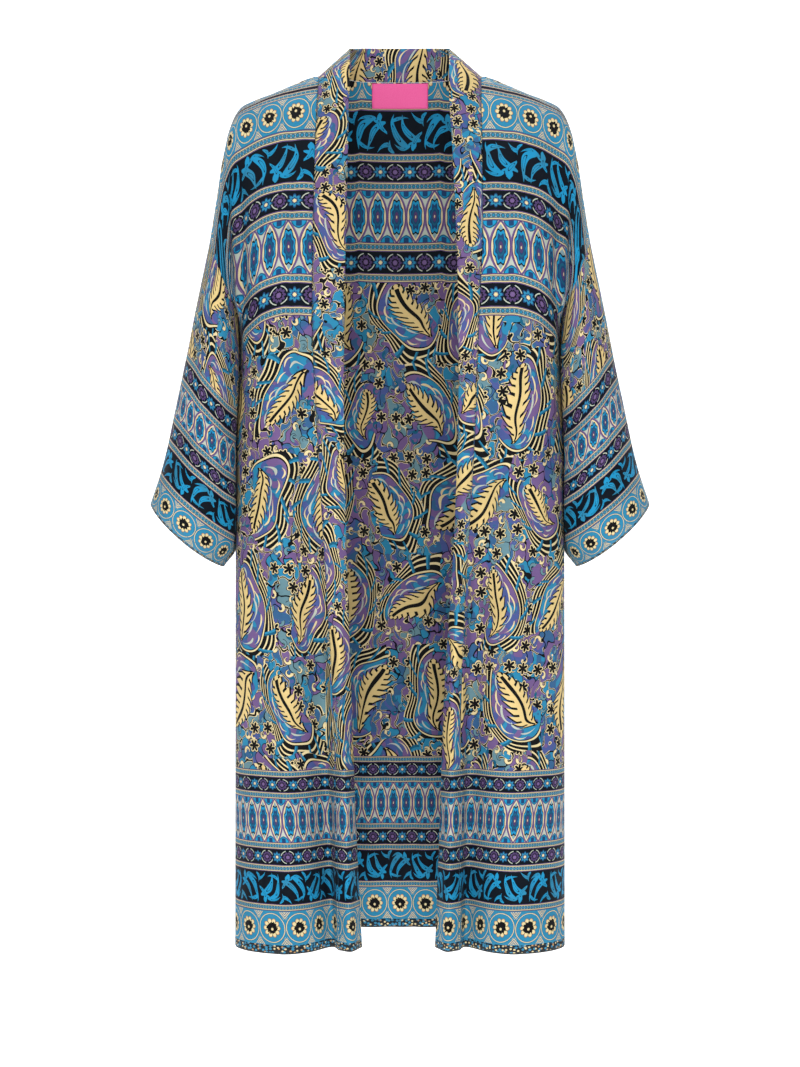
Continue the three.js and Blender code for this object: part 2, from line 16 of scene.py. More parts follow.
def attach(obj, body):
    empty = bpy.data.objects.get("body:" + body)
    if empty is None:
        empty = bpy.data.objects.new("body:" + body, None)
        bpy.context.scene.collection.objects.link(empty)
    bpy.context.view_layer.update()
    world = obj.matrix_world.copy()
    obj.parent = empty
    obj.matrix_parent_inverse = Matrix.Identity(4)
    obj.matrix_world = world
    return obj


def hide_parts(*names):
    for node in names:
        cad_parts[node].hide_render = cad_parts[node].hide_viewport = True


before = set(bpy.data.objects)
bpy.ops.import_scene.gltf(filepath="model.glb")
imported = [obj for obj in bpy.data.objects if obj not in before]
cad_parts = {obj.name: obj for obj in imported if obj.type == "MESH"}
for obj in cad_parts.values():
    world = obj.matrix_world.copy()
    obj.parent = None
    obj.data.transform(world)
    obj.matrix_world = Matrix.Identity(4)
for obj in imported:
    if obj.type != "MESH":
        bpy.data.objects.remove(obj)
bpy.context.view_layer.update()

# %% [markdown]
# ## The cut, as tables
# A garment is measured along threads: lines of cloth that run from the shoulder to the hem. Each row
# below is one level, each entry the place of one thread there, as (outwards, depth, height) in
# millimetres. It could be sculpted by eye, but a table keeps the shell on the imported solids.

# %% Threads of a front and of half the back
HEM_Z = -996
UNDERARM_Z = -289


def level(z, *points):
    """The threads of one level whose points all lie at the same height."""
    return tuple((x, y, z) for x, y in points)


FRONT_THREADS = ("seam", "inner", "rise", "bulge", "flank", "crease", "cap", "arm")
FRONT_ROWS = {
    "ridge": ((93.6, 22, 4), (108, 21, -1), (122, 20, -6), (138, 19, -13), (161, 17, -23),
        (184, 15, -34), (199, 13, -66), (208, 12, -126)),
    "cap": ((93.8, -8, -7), (108, -7, -11), (122, -6, -15), (138, -6, -21), (162, -9, -34),
        (188, -16, -58), (201, -22, -98), (209, -30, -150)),
    "high": ((95, -38, -40), (108, -38, -43), (121, -38, -47), (136, -39, -54), (161, -40, -72),
        (187, -36, -104), (196, -50, -150), (202, -60, -190)),
    "chest": ((96, -60, -100), (108, -62, -102), (120, -64, -106), (134, -66, -114), (160, -63, -136),
        (184.5, -48, -168), (188.5, -60, -208), (192.5, -64, -232)),
    "deep": ((96, -72, -190), (108, -74, -192), (120, -77, -195), (132, -80, -200), (158, -72, -216),
        (180.5, -48, -240), (182, -52, -262), (184, -46, -277)),
    "under": ((94, -76, -289), (107, -79, -290), (119, -83, -293), (132, -84, -297), (157, -75, -306),
        (175, -54, -318), (180, -36, -318), (182.5, -14, -306)),
    "waist": level(-420, (89, -77), (101, -74), (115, -82), (132, -86), (158, -74), (175, -54),
        (183.5, -34), (187.5, -14)),
    "hip": level(-560, (80, -74), (91, -66), (111, -79), (131, -86), (157, -74), (175, -54), (184, -35),
        (188, -16)),
    "thigh": level(-700, (73, -68), (83, -54), (107, -76), (130, -86), (155, -75), (174, -55),
        (184, -36), (188, -18)),
    "knee": level(-850, (70.5, -62), (80, -43), (105, -75), (129, -88), (153, -77), (173, -57),
        (184, -38), (188, -20)),
    "hem": level(HEM_Z, (68, -60), (76, -35), (102, -74), (128, -89), (152, -79), (173, -58), (184, -40),
        (188, -22)),
}
FRONT_CELLS = (3, 2, 2, 2, 2, 2, 1, 2)

BACK_ROWS = {
    "ridge": ((0, 74, 5), (46, 68, 5), (93.6, 22, 4), (138, 19, -13), (184, 15, -34), (199, 13, -66),
        (208, 12, -126)),
    "cap": ((0, 79, -11), (46, 75, -10), (92, 48, -6), (138, 44, -22), (187, 44, -58), (201, 46, -98),
        (209, 52, -150)),
    "high": ((0, 87, -42), (47, 85, -42), (92, 72, -40), (136, 67, -54), (185, 60, -104),
        (196, 72, -150), (202, 81, -190)),
    "chest": ((0, 95, -104), (48, 95, -104), (94, 91, -104), (134, 84, -116), (182, 66, -168),
        (188, 78, -208), (192.5, 84, -232)),
    "deep": ((0, 100, -194), (49, 100, -194), (96, 98, -194), (134, 88, -204), (178, 64, -240),
        (181, 70, -262), (184, 65, -277)),
    "under": ((0, 102, -289), (50, 103, -289), (97, 99, -290), (135, 86, -298), (173, 60, -318),
        (179, 44, -318), (182, 28, -306)),
    "waist": level(-420, (0, 102), (50, 104), (98, 99), (136, 87), (173, 58), (183, 38), (187.5, 22)),
    "hip": level(-560, (0, 105), (51, 107), (99, 101), (138, 88), (174, 58), (184, 36), (188, 20)),
    "thigh": level(-700, (0, 109), (51, 110), (99, 104), (138, 90), (174, 60), (184, 38), (188, 20)),
    "knee": level(-850, (0, 113), (52, 114), (100, 107), (138, 92), (174, 60), (184, 38), (188, 18)),
    "hem": level(HEM_Z, (0, 116), (52, 116), (100, 109), (138, 94), (174, 60), (184, 38), (188, 16)),
}
BACK_CELLS = (2, 3, 7, 4, 2, 1, 2)
ROW_CELLS = (3, 3, 3, 3, 3, 4, 4, 4, 4, 4)
ARMHOLE_ROWS = 5
print(len(FRONT_ROWS), "levels,", len(FRONT_THREADS), "threads to a front")

# %% Armholes, side seams, bands and sleeves
# The armhole runs from its top to its foot. Each entry is a share of the way down and of its depth.
ARMHOLE_RING = ((0, 0), (0.1, 0.62), (0.35, 0.97), (0.6, 0.95), (0.82, 0.6), (1, 0))
ARMHOLE = {
    "top_x": 219, "top_z": -188, "foot_x": 180, "foot_z": UNDERARM_Z, "mid_y": 10, "half_depth": 78,
}
SIDE_SEAM = ((180, 10), (188.5, 5), (188.5, 3), (188.5, 1), (188.5, -1), (188.5, -3))
# Each entry is a height and how far outwards the band's edge stands there.
BAND_SEAM = {
    "right": ((4, 93.6), (-46, 95), (-174, 97.9), (-289, 98.5), (-420, 93), (-560, 85), (-700, 77),
        (-850, 72.5), (HEM_Z, 68.9)),
    "left": ((4, 93.6), (-46, 92.5), (-174, 93.5), (-289, 88.5), (-420, 84), (-560, 76), (-700, 69.8),
        (-850, 68.6), (HEM_Z, 66.8)),
}
BAND_FREE = {
    "right": ((4, 58), (-46, 57.4), (-174, 60.2), (-289, 62), (-376, 63), (-533, 59.6), (-713, 54),
        (-826, 50.6), (HEM_Z, 42.7)),
    "left": ((4, 57), (-46, 55.5), (-100, 59), (-153, 61.9), (-289, 65), (-420, 64), (-533, 61.5),
        (-600, 54), (-646, 51.3), (-775, 47), (-874, 43.9), (HEM_Z, 39.4)),
}
# Level by level: the depth of the band's middle, that of its free edge, and how far that edge rises.
BAND_ROWS = (
    (24, 27, 33), (-12, -9, 27), (-45, -44, 12), (-64, -62, 2), (-76, -73, 0), (-80, -76, 0),
    (-82, -75, 0), (-81, -72, 0), (-79, -64, 0), (-75, -50, 0), (-72, -38, 0),
)
SLEEVE_COLUMNS = ("out", "into", "mid_y", "half_depth", "sag", "power")
SLEEVE_ROWS = (
    ((234, -266), (179, -336), 9, 82, 1, 2.2),
    ((253.5, -361), (182, -443), 7, 82, 3, 2.3),
    ((271.5, -446), (185, -537), 4, 79, 4, 2.3),
    ((286, -491.5), (203, -564), 2, 80, 5.5, 2.2),
)
SLEEVE_CELLS = (5, 5, 5, 3)
GIRTH = 462.0  # round a sleeve, on the print
SLEEVE_CLEAR = (1.7, 2.6, 3, 3, 3)
THREAD_SHARE = {"seam": 1, "inner": 1, "rise": 0.5, "bulge": 0.15}
ACROSS = 3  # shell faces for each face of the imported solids, across
DOWN = 6  # and along the threads
print("sleeve sections:", len(SLEEVE_ROWS))

# %% [markdown]
# ## Curves through the threads
# A centripetal Catmull-Rom curve goes through every named point without loops or overshoot. Blender
# has curve objects for this, but plain arrays of numbers handle all the threads of a panel at once.

# %% Smooth curves and lofts
NOTHING = 1e-9  # keeps a division safe
SAME_SPOT = 1e-4


def smooth_through(keys, cells):
    """Goes through the keys, with a number of cells between each two of them."""
    keys = np.asarray(keys, float)
    last = len(keys) - 1
    made = [keys[0]]
    for i, count in enumerate(cells):
        p1, p2 = keys[i], keys[i + 1]
        p0 = keys[i - 1] if i else 2 * p1 - p2
        p3 = keys[i + 2] if i + 2 <= last else 2 * p2 - p1
        steps = (p1 - p0, p2 - p1, p3 - p2)
        gaps = [np.sqrt(np.linalg.norm(step, axis=-1, keepdims=True)) for step in steps]
        d1 = np.where(gaps[1] < SAME_SPOT, 1, gaps[1])
        d0 = np.where(gaps[0] < SAME_SPOT, d1, gaps[0])
        d2 = np.where(gaps[2] < SAME_SPOT, d1, gaps[2])
        t1 = ((p1 - p0) / d0 - (p2 - p0) / (d0 + d1) + (p2 - p1) / d1) * d1
        t2 = ((p2 - p1) / d1 - (p3 - p1) / (d1 + d2) + (p3 - p2) / d2) * d1
        for k in range(1, count + 1):
            w = k / count
            square, cube = -3 * p1 + 3 * p2 - 2 * t1 - t2, 2 * p1 - 2 * p2 + t1 + t2
            made.append(p1 + t1 * w + square * w**2 + cube * w**3)
    return np.stack(made)


def loft(keys, across_cells, down_cells, turn=None):
    across_cells = [n * ACROSS for n in across_cells]
    down_cells = [n * DOWN for n in down_cells]
    rows = smooth_through(np.swapaxes(keys, 0, 1), across_cells).swapaxes(0, 1)
    if turn is None:
        return smooth_through(rows, down_cells)
    turn = turn * ACROSS + 1
    calm = smooth_through(rows[:, :turn], down_cells)
    upper = smooth_through(rows[: ARMHOLE_ROWS + 1, turn:], down_cells[:ARMHOLE_ROWS])
    lower = smooth_through(rows[ARMHOLE_ROWS:, turn:], down_cells[ARMHOLE_ROWS:])
    return np.concatenate([calm, np.concatenate([upper, lower[1:]])], axis=1)


def at_level(table, z):
    levels, values = zip(*table)
    return float(np.interp(-z, [-v for v in levels], values))


def edge_point(i, z, towards):
    if i > ARMHOLE_ROWS:
        x, y = SIDE_SEAM[i - ARMHOLE_ROWS]
        return np.array((x, y, z), float)
    down, deep = ARMHOLE_RING[i]
    a = ARMHOLE
    x, z = (a[f"top_{k}"] + (a[f"foot_{k}"] - a[f"top_{k}"]) * down for k in "xz")
    return np.array((x, a["mid_y"] + towards * a["half_depth"] * deep, z))


def normals_of(grid, closed=False):
    if closed:
        wide = np.concatenate([grid[:, -1:], grid, grid[:, :1]], axis=1)
    else:
        wide = np.concatenate([grid[:, :1], grid, grid[:, -1:]], axis=1)
    tall = np.concatenate([grid[:1], grid, grid[-1:]], axis=0)
    turned = np.cross(tall[2:] - tall[:-2], wide[:, 2:] - wide[:, :-2])
    return turned / np.maximum(np.linalg.norm(turned, axis=-1, keepdims=True), NOTHING)


def walked(grid, axis):
    steps = np.linalg.norm(np.diff(grid, axis=axis), axis=-1)
    start = np.zeros_like(np.take(steps, [0], axis=axis))
    return np.concatenate([start, np.cumsum(steps, axis=axis)], axis=axis)

# %% [markdown]
# ## Panels with printed places
# Printed cloth carries its picture along the threads. So each panel also keeps three measures for
# every point: how far across the cloth it is, how far above the hem, and how far below the shoulder
# line where the upper border begins. The shader reads them later as UV maps.

# %% Fronts, back and bands
MIRROR = np.array((-1, 1, 1))
armhole = sum(ROW_CELLS[:ARMHOLE_ROWS]) * DOWN
# How far the upper border hangs below the shoulder fold, by thread.
FRONT_DROP = (45, 40, 36, 30, 22, 14, 6, 0, -2)
BACK_DROP = (-44, -44, -21, 0, 0, 0, 0, -2)
FAR = 9000.0  # "no border from this side"


def by_thread(values, cells):
    places = np.concatenate([[0], np.cumsum([n * ACROSS for n in cells])])
    return np.interp(np.arange(places[-1] + 1), places, values)


def front_grid(side):
    keys = []
    for i, points in enumerate(FRONT_ROWS.values()):
        line = np.array(points, float)
        shift = at_level(BAND_SEAM[side], line[0, 2]) - line[0, 0]
        line[:, 0] += [shift * THREAD_SHARE.get(name, 0) for name in FRONT_THREADS]
        keys.append(np.vstack([line, edge_point(i, points[0][2], -1)]))
    return loft(np.array(keys), FRONT_CELLS, ROW_CELLS, sum(FRONT_CELLS[:-1]))


fronts = {side: front_grid(side) for side in ("left", "right")}  # both with x outwards
back_keys = [np.vstack([p, edge_point(i, p[0][2], 1)]) for i, p in enumerate(BACK_ROWS.values())]
half_back = loft(np.array(back_keys), BACK_CELLS, ROW_CELLS, sum(BACK_CELLS[:-1]))
neck = sum(BACK_CELLS[:2]) * ACROSS
backs = {}
for side in fronts:
    backs[side] = half_back.copy()
    backs[side][0, neck:] = fronts[side][0]
    backs[side][armhole:, -1] = fronts[side][armhole:, -1]


def band_grid(side):
    starts = np.concatenate([[0], np.cumsum(ROW_CELLS)]) * DOWN
    keys = []
    for start, (mid_y, free_y, rise) in zip(starts, BAND_ROWS):
        seam = fronts[side][start, 0]
        free = np.array((at_level(BAND_FREE[side], seam[2]), free_y, seam[2] + rise))
        keys.append([seam, ((seam[0] + free[0]) / 2, mid_y, seam[2] + rise / 2), free])
    grid = loft(np.array(keys), (2, 2), ROW_CELLS)
    grid[:, 0] = fronts[side][:, 0]
    return grid


bands = {side: band_grid(side) for side in fronts}


def panel(grid, across, hem, top=None, closed=False):
    top = np.full(hem.shape, FAR) if top is None else top
    return {"grid": grid, "across": across, "hem": hem, "top": top, "closed": closed}


def turned(p):
    """The same panel with its columns in the other order, which turns its face over."""
    return {k: v if k == "closed" else v[:, ::-1] for k, v in p.items()}


def on_side(grid, side):
    return grid if side == "left" else grid * MIRROR


def up_from_hem(grid):
    return walked(grid[::-1], 0)[::-1]


BAND_START = {"left": 34, "right": 340 * 0.7}  # where the band's cut begins across the print
BAND_EASE, BACK_EASE = 0.97, 1.12  # how much the print is squeezed across them
BACK_START = 17
pieces = {}
for side, phase in (("left", 0), ("right", 340)):
    grid = fronts[side]
    across = walked(grid, 1) + grid[:, :1, 0] + phase
    top = np.abs(walked(grid, 0) - by_thread(FRONT_DROP, FRONT_CELLS) - 1) + 1
    made = panel(on_side(grid, side), across, up_from_hem(grid), top)
    pieces[f"front_{side}"] = made if side == "left" else turned(made)
    grid = bands[side]
    across = (walked(grid, 1) + BAND_START[side]) * BAND_EASE
    made = panel(on_side(grid, side), across, up_from_hem(grid))
    pieces[f"band_{side}"] = turned(made) if side == "left" else made

halves = []
for side, sign in (("right", -1), ("left", 1)):
    grid = backs[side]
    top = walked(grid, 0) - by_thread(BACK_DROP, BACK_CELLS)
    across = sign * walked(grid, 1) * BACK_EASE + BACK_START
    half = panel(on_side(grid, side), across, up_from_hem(grid), top)
    halves.append(half if side == "left" else turned(half))
right, left = halves
whole = {k: np.concatenate([right[k][:, :-1], left[k]], axis=1) for k in ("grid", "across", "hem", "top")}
pieces["back"] = turned({**whole, "closed": False})
print({name: p["grid"].shape[:2] for name, p in pieces.items()})

# %% [markdown]
# ## Neckband and sleeves
# The neckband stands on the back neck between the ends of the two front bands. A sleeve is a tube:
# its first ring is the armhole and its last the cuff. Where it hangs beside the body it is pushed
# just clear, and the body's side is found by shooting rays at it, as an engineer probes a wall.

# %% Neckband
base = whole["grid"][0, half_back.shape[1] - 1 - neck: half_back.shape[1] + neck]
top_ends = (bands["right"][0, -1] * MIRROR, bands["left"][0, -1])
top_keys = [top_ends[0], (-42, 63, 43.5), (0, 68, 44), (42, 63, 43.5), top_ends[1]]
top_line = smooth_through(top_keys, [n * ACROSS for n in (3, 2, 2, 3)])
lifts = np.linspace(1, 0, bands["left"].shape[1])[:, None, None]
neck_grid = base + (top_line - base) * lifts
neck_grid[:, 0] = bands["right"][0, ::-1] * MIRROR
neck_grid[:, -1] = bands["left"][0, ::-1]
neck_across = np.broadcast_to(walked(neck_grid, 1).mean(0), neck_grid.shape[:2]) + 60
NECK_PRINT = 1100  # its place on the print, as a height above the hem
pieces["neckband"] = turned(panel(neck_grid, neck_across, up_from_hem(neck_grid) + NECK_PRINT))
print("neckband:", neck_grid.shape[:2])


# %% Sleeves
def body_probe(side):
    rows = slice(armhole - 6 * DOWN, None)
    corners, faces = [], []
    for grid in (fronts[side], backs[side]):
        part = grid[rows, -9 * ACROSS - 1:]
        start, (down, wide) = len(corners), part.shape[:2]
        corners += [Vector(p) for p in part.reshape(-1, 3)]
        for i in range(down - 1):
            for j in range(wide - 1):
                a = start + i * wide + j
                faces.append((a, a + 1, a + wide + 1, a + wide))
    return BVHTree.FromPolygons(corners, faces)


def sleeve_grid(side):
    front, back = fronts[side], backs[side]
    ring = np.concatenate([front[: armhole + 1, -1], back[1:armhole, -1][::-1]])
    angle = 2 * np.pi * np.arange(len(ring)) / len(ring)
    keys = [ring]
    for row in SLEEVE_ROWS:
        s = dict(zip(SLEEVE_COLUMNS, row))
        out, into = (np.array((x, s["mid_y"], z), float) for x, z in (s["out"], s["into"]))
        half = (out - into) / 2
        down = np.array((half[2], 0, -half[0]))
        down *= -np.sign(down[2]) / np.linalg.norm(down)
        c, d = (np.sign(v) * np.abs(v) ** (2 / s["power"]) for v in (np.cos(angle), np.sin(angle)))
        points = (out + into) / 2 + c[:, None] * half + (s["sag"] * np.sin(angle) ** 2)[:, None] * down
        points[:, 1] -= s["half_depth"] * d
        keys.append(points)
    grid = smooth_through(np.array(keys), [n * DOWN for n in SLEEVE_CELLS])
    probe = body_probe(side)
    clear = np.interp(np.linspace(0, 4, len(grid)), range(5), SLEEVE_CLEAR)
    for i in range(1, len(grid)):
        for p in grid[i]:
            hit = probe.ray_cast(Vector((400, p[1], p[2])), Vector((-1, 0, 0)))[0]
            reach = hit.x if hit else 0
            if reach - 30 < p[0] < reach + clear[i]:
                p[0] = reach + clear[i]
    return grid


for side, phase in (("left", 0), ("right", 210)):
    grid = sleeve_grid(side)
    closing = np.concatenate([grid, grid[:, :1]], axis=1)
    across = walked(closing, 1)
    across = across[:, :-1] * (GIRTH / across[:, -1:]) + phase
    made = panel(on_side(grid, side), across, up_from_hem(grid), closed=True)
    pieces[f"sleeve_{side}"] = turned(made) if side == "left" else made
print("sleeve rings:", pieces["sleeve_left"]["grid"].shape)

# %% [markdown]
# ## Folds
# Light cloth hangs in soft flutes that start somewhere and deepen or fade. Cloth simulation could
# find its own, but here the folds have to be the ones of this robe, so each is one row: where it
# starts and ends in the front view, its half width and how deep it is pressed (a minus stands out).

# %% Rows of folds
SOLID_FOLDS = {
    "front_right": ((-184, -120, -179, -300, 8, 5), (-148, -330, -158, -900, 14, 4),
        (-150, -70, -112, -210, 12, 2.5)),
    "front_left": ((184, -120, 179, -300, 8, 5), (146, -380, 156, -940, 13, 4),
        (150, -70, 110, -215, 12, 2.5)),
    "back": ((-118, -300, -104, HEM_Z, 18, 6), (-62, -480, -66, HEM_Z, 16, -4),
        (112, -330, 98, HEM_Z, 18, 6), (66, -520, 60, HEM_Z, 16, -4)),
    "sleeve_right": ((-226, -280, -246, -470, 11, 3),),
    "sleeve_left": ((226, -280, 246, -470, 11, 3),),
}
FINE_FOLDS = {
    "front_right": ((-112, -300, -104, -760, 7, 1.4), (-126, -420, -120, -980, 9, -1.6),
        (-166, -360, -168, -820, 7, 1.5), (-136, -600, -141, HEM_Z, 8, 1.8),
        (-172, -560, -170, HEM_Z, 6, -1.2), (-98, -560, -92, -900, 6, 1.2),
        (-118, -60, -150, -160, 7, 1.0), (-168, -150, -140, -260, 7, 1.3),
        (-176, -310, -150, -420, 7, 1.6), (-180, -330, -166, -500, 6, 1.3)),
    "front_left": ((108, -330, 100, -700, 7, 1.5), (122, -480, 116, -960, 9, -1.7),
        (166, -330, 170, -760, 7, 1.6), (134, -560, 138, HEM_Z, 8, 1.7),
        (174, -600, 171, HEM_Z, 6, -1.2), (94, -520, 84, -880, 6, 1.6), (120, -70, 152, -170, 7, 1.0),
        (170, -150, 140, -270, 7, 1.3), (176, -312, 148, -430, 7, 1.6), (181, -340, 168, -520, 6, 1.2)),
    "back": ((-30, -120, -22, -420, 10, 1.5), (34, -160, 26, -460, 10, 1.4),
        (4, -380, -6, -900, 11, 2.2), (-40, -560, -36, HEM_Z, 9, 2.4), (36, -600, 30, HEM_Z, 9, 2.6),
        (-88, -420, -84, HEM_Z, 8, 2.0), (84, -440, 80, HEM_Z, 8, 1.9),
        (-140, -360, -136, -940, 10, 2.2), (142, -340, 138, -920, 10, 2.1),
        (-18, -700, -14, HEM_Z, 8, -2.0), (14, -760, 16, HEM_Z, 8, -2.1),
        (-160, -240, -128, -400, 9, 1.8), (160, -240, 126, -410, 9, 1.8),
        (-120, -40, -150, -200, 9, 1.2), (120, -44, 152, -210, 9, 1.2)),
    "sleeve_right": ((-206, -260, -214, -480, 7, 1.6), (-240, -330, -262, -500, 7, 1.3),
        (-192, -330, -200, -520, 6, 1.4)),
    "sleeve_left": ((206, -262, 212, -470, 7, 1.6), (240, -320, 264, -505, 7, 1.3),
        (192, -340, 202, -515, 6, 1.4)),
    "sleeve_right_rear": ((-214, -250, -232, -500, 10, 2.2), (-238, -320, -258, -510, 8, 1.6)),
    "sleeve_left_rear": ((212, -255, 230, -490, 10, 2.2), (240, -315, 260, -512, 8, 1.6)),
    "band_right": ((-78, -330, -74, -760, 5, 0.9),),
    "band_left": ((76, -300, 70, -700, 5, 0.9),),
}
REAR_STARTS_Y = 20


def press(name, p, folds, cells_across, cells_down):
    """Presses a piece's folds along its normals. A sleeve's rear rows are kept to its rear half."""
    grid, closed = p["grid"], p["closed"]
    rows, cols = grid.shape[:2]
    inset = np.minimum(np.arange(rows)[:, None] / cells_down, 2)
    if not closed:
        j = np.arange(cols)
        inset = np.minimum(inset, np.minimum(j, cols - 1 - j)[None] / cells_across)
    hold = np.minimum(1, inset / 2)
    depth = np.zeros((rows, cols))
    for rear, title in enumerate((name, f"{name}_rear")):
        for x0, z0, x1, z1, width, deep in folds.get(title, ()):
            dx, dz = x1 - x0, z1 - z0
            x, z = grid[..., 0] - x0, grid[..., 2] - z0
            t = np.clip((x * dx + z * dz) / (dx * dx + dz * dz), 0, 1)
            away = np.hypot(x - t * dx, z - t * dz) / width
            fade = np.minimum(1, np.minimum(4 * t, 1 if z1 == HEM_Z else 4 * (1 - t)))
            if closed:
                fade = fade * ((grid[..., 1] > REAR_STARTS_Y) == rear)
            depth += deep * fade * np.exp(-away * away)
    p["grid"] = grid - normals_of(grid, closed) * (depth * hold)[..., None]


for name, p in pieces.items():
    press(name, p, SOLID_FOLDS, ACROSS, DOWN)
    press(name, p, FINE_FOLDS, ACROSS, DOWN)
print("folds:", sum(len(rows) for table in (SOLID_FOLDS, FINE_FOLDS) for rows in table.values()))

# %% [markdown]
# ## Turning a grid into cloth
# A sheet with no thickness looks like paper and can't be baked well. So each panel becomes a closed
# shell: the outer points, the same points set in by the cloth's thickness, and a row between them
# that rounds the edge like a fold. A Solidify modifier could do it too, but here the seam allowance,
# the round edge and the bake's map are all wanted in one step.

# %% Shells
MM = 0.001
SEAM = 0.02  # millimetres that each piece is drawn back from its seam line
# The bake's map has the outer face on its left half, the inner one on its right and the edge on top.
MARGIN, FACE_WIDE, FACE_HIGH, INNER_START, STRIP_START = 0.003, 0.490, 0.985, 0.504, 0.9925


def border_of(rows, cols, closed):
    if closed:
        return [[(0, j) for j in range(cols)], [(rows - 1, j) for j in range(cols)][::-1]]
    loop = [(0, j) for j in range(cols - 1)] + [(i, cols - 1) for i in range(rows - 1)]
    loop += [(rows - 1, j) for j in range(cols - 1, 0, -1)] + [(i, 0) for i in range(rows - 1, 0, -1)]
    return [loop]


def drawn_back(grid, closed, amount):
    moved = grid.copy()

    def towards(a, b):
        step = b - a
        return step / np.maximum(np.linalg.norm(step, axis=-1, keepdims=True), NOTHING) * amount

    moved[0] += towards(grid[0], grid[1])
    moved[-1] += towards(grid[-1], grid[-2])
    if not closed:
        moved[:, 0] += towards(grid[:, 0], grid[:, 1])
        moved[:, -1] += towards(grid[:, -1], grid[:, -2])
    return moved


def outward(p):
    return p.get("normals", normals_of(p["grid"], p["closed"]))


def write_map(mesh, title, places):
    mesh.uv_layers.new(name=title).uv.foreach_set("vector", np.asarray(places, np.float32).ravel())


def hang(mesh, material):
    """An object of its own in the scene for a mesh and its material."""
    piece = bpy.data.objects.new(mesh.name, mesh)
    bpy.context.scene.collection.objects.link(piece)
    mesh.materials.append(material)
    return piece


def close_turn(values, faces, turn, gap):
    """A tube ends where it began, so the corners past its join get the next turn's number."""
    for f in range(0, 4 * faces, 4):
        four = values[f:f + 4]
        if four.max() - four.min() > gap:
            values[f:f + 4] = np.where(four < four.max() - gap, four + turn, four)


def mean_walk(grid, axis):
    steps = np.linalg.norm(np.diff(grid, axis=axis), axis=-1)
    return np.concatenate([[0], np.cumsum(steps.mean(1 - axis))])


def shell(name, p, wall, material):
    """An outer face, an inner one and a round edge, with the maps of the print and of the bake."""
    closed = p["closed"]
    normals = outward(p)
    outer = drawn_back(p["grid"], closed, SEAM + 0.3 * wall)
    inner = outer - normals * wall
    rows, cols = outer.shape[:2]
    count = rows * cols
    i, j = np.meshgrid(np.arange(rows - 1), np.arange(cols if closed else cols - 1), indexing="ij")
    a, b = i * cols + j, i * cols + (j + 1) % cols
    c, d = b + cols, a + cols
    faces = np.stack([a, d, c, b], -1).reshape(-1, 4)
    faces = np.vstack([faces, faces[:, ::-1] + count]).tolist()
    edge = drawn_back(p["grid"], closed, SEAM) - normals * wall / 2
    places = [outer.reshape(-1, 3), inner.reshape(-1, 3)]
    strips, nearest, start = [], [], 2 * count
    for loop in border_of(rows, cols, closed):
        ids = np.array([r * cols + s for r, s in loop])
        n = len(ids)
        places.append(edge.reshape(-1, 3)[ids])
        nearest += ids.tolist()
        for k in range(n):
            m = (k + 1) % n
            span = k / n, (k + 1) / n
            strips.append(((ids[k], ids[m], start + m, start + k), (*span, 0, 1)))
            strips.append(((start + k, start + m, ids[m] + count, ids[k] + count), (*span, 1, 2)))
        start += n
    mesh = bpy.data.meshes.new(name)
    edge_faces = [list(map(int, s[0])) for s in strips]
    mesh.from_pydata((np.vstack(places) * MM).tolist(), [], faces + edge_faces)
    mesh.shade_smooth()
    corner = np.empty(len(mesh.loops), np.int32)
    mesh.loops.foreach_get("vertex_index", corner)
    source = np.concatenate([np.arange(count), np.arange(count), nearest])[corner]
    turn = p["across"].reshape(-1)[source]
    if closed:
        close_turn(turn, len(faces), GIRTH, GIRTH / 2)
    for title, heights in (("print", p["hem"]), ("yoke", p["top"])):
        write_map(mesh, title, np.stack([turn * MM, heights.reshape(-1)[source] * MM], 1))
    wide, tall = mean_walk(outer, 1), mean_walk(outer, 0)
    full_wide = wide[-1] * (1 + 1 / (cols - 1)) if closed else wide[-1]
    u = MARGIN + FACE_WIDE * np.tile(wide / full_wide, rows)
    v = MARGIN + FACE_HIGH * np.repeat(1 - tall / tall[-1], cols)
    bake_u = u[source] + np.where((corner >= count) & (corner < 2 * count), INNER_START, 0)
    bake_v = v[source]
    if closed:
        close_turn(bake_u, len(faces), FACE_WIDE, 0.3)
    spot = len(faces) * 4
    for _, (k0, k1, low, high) in strips:
        bake_u[spot:spot + 4] = 0.002 + 0.996 * np.array((k0, k1, k1, k0))
        bake_v[spot:spot + 4] = STRIP_START + 0.003 * np.array((low, low, high, high))
        spot += 4
    write_map(mesh, "OFBake", np.stack([bake_u, bake_v], 1))
    mesh.uv_layers["print"].active_render = True
    piece = hang(mesh, material)
    mesh.validate()
    area = sum(f.area for f in mesh.polygons) / 2
    print(f"{name}: {len(mesh.polygons)} faces, {area:.3f} m2 of cloth")
    return piece, area


# %% [markdown]
# ## Sums in a shader
# The print is ordinary arithmetic: distances, repeats and comparisons. Every step could be added and
# linked by hand, one node at a time. A small class that turns Python's own signs into Math nodes
# keeps the motifs readable, and the result is still a normal node tree.

# %% Arithmetic with nodes
COLOR, FLOAT = "NodeSocketColor", "NodeSocketFloat"


def feed(slots, values):
    """Links each wire to its socket and sets each plain value, by order or, from a dict, by name."""
    if isinstance(values, dict):
        slots, values = [slots[key] for key in values], values.values()
    for slot, value in zip(slots, values):
        if isinstance(value, Wire):
            value.tree.links.new(value.socket, slot)
        else:
            slot.default_value = value


def add(tree, kind, values=(), **settings):
    """Adds a shader node with its settings and its inputs."""
    node = tree.nodes.new(f"ShaderNode{kind}")
    for name, value in settings.items():
        setattr(node, name, value)
    feed(node.inputs, values)
    return node


def tap(node, key=0):
    return Wire(node.outputs[key])


def reckon(operation, *values):
    tree = next(v.tree for v in values if isinstance(v, Wire))
    return tap(add(tree, "Math", values, operation=operation))


def sign(operation):
    """A method that sends both sides of a Python sign through one Math node."""
    return lambda left, right: reckon(operation, left, right)


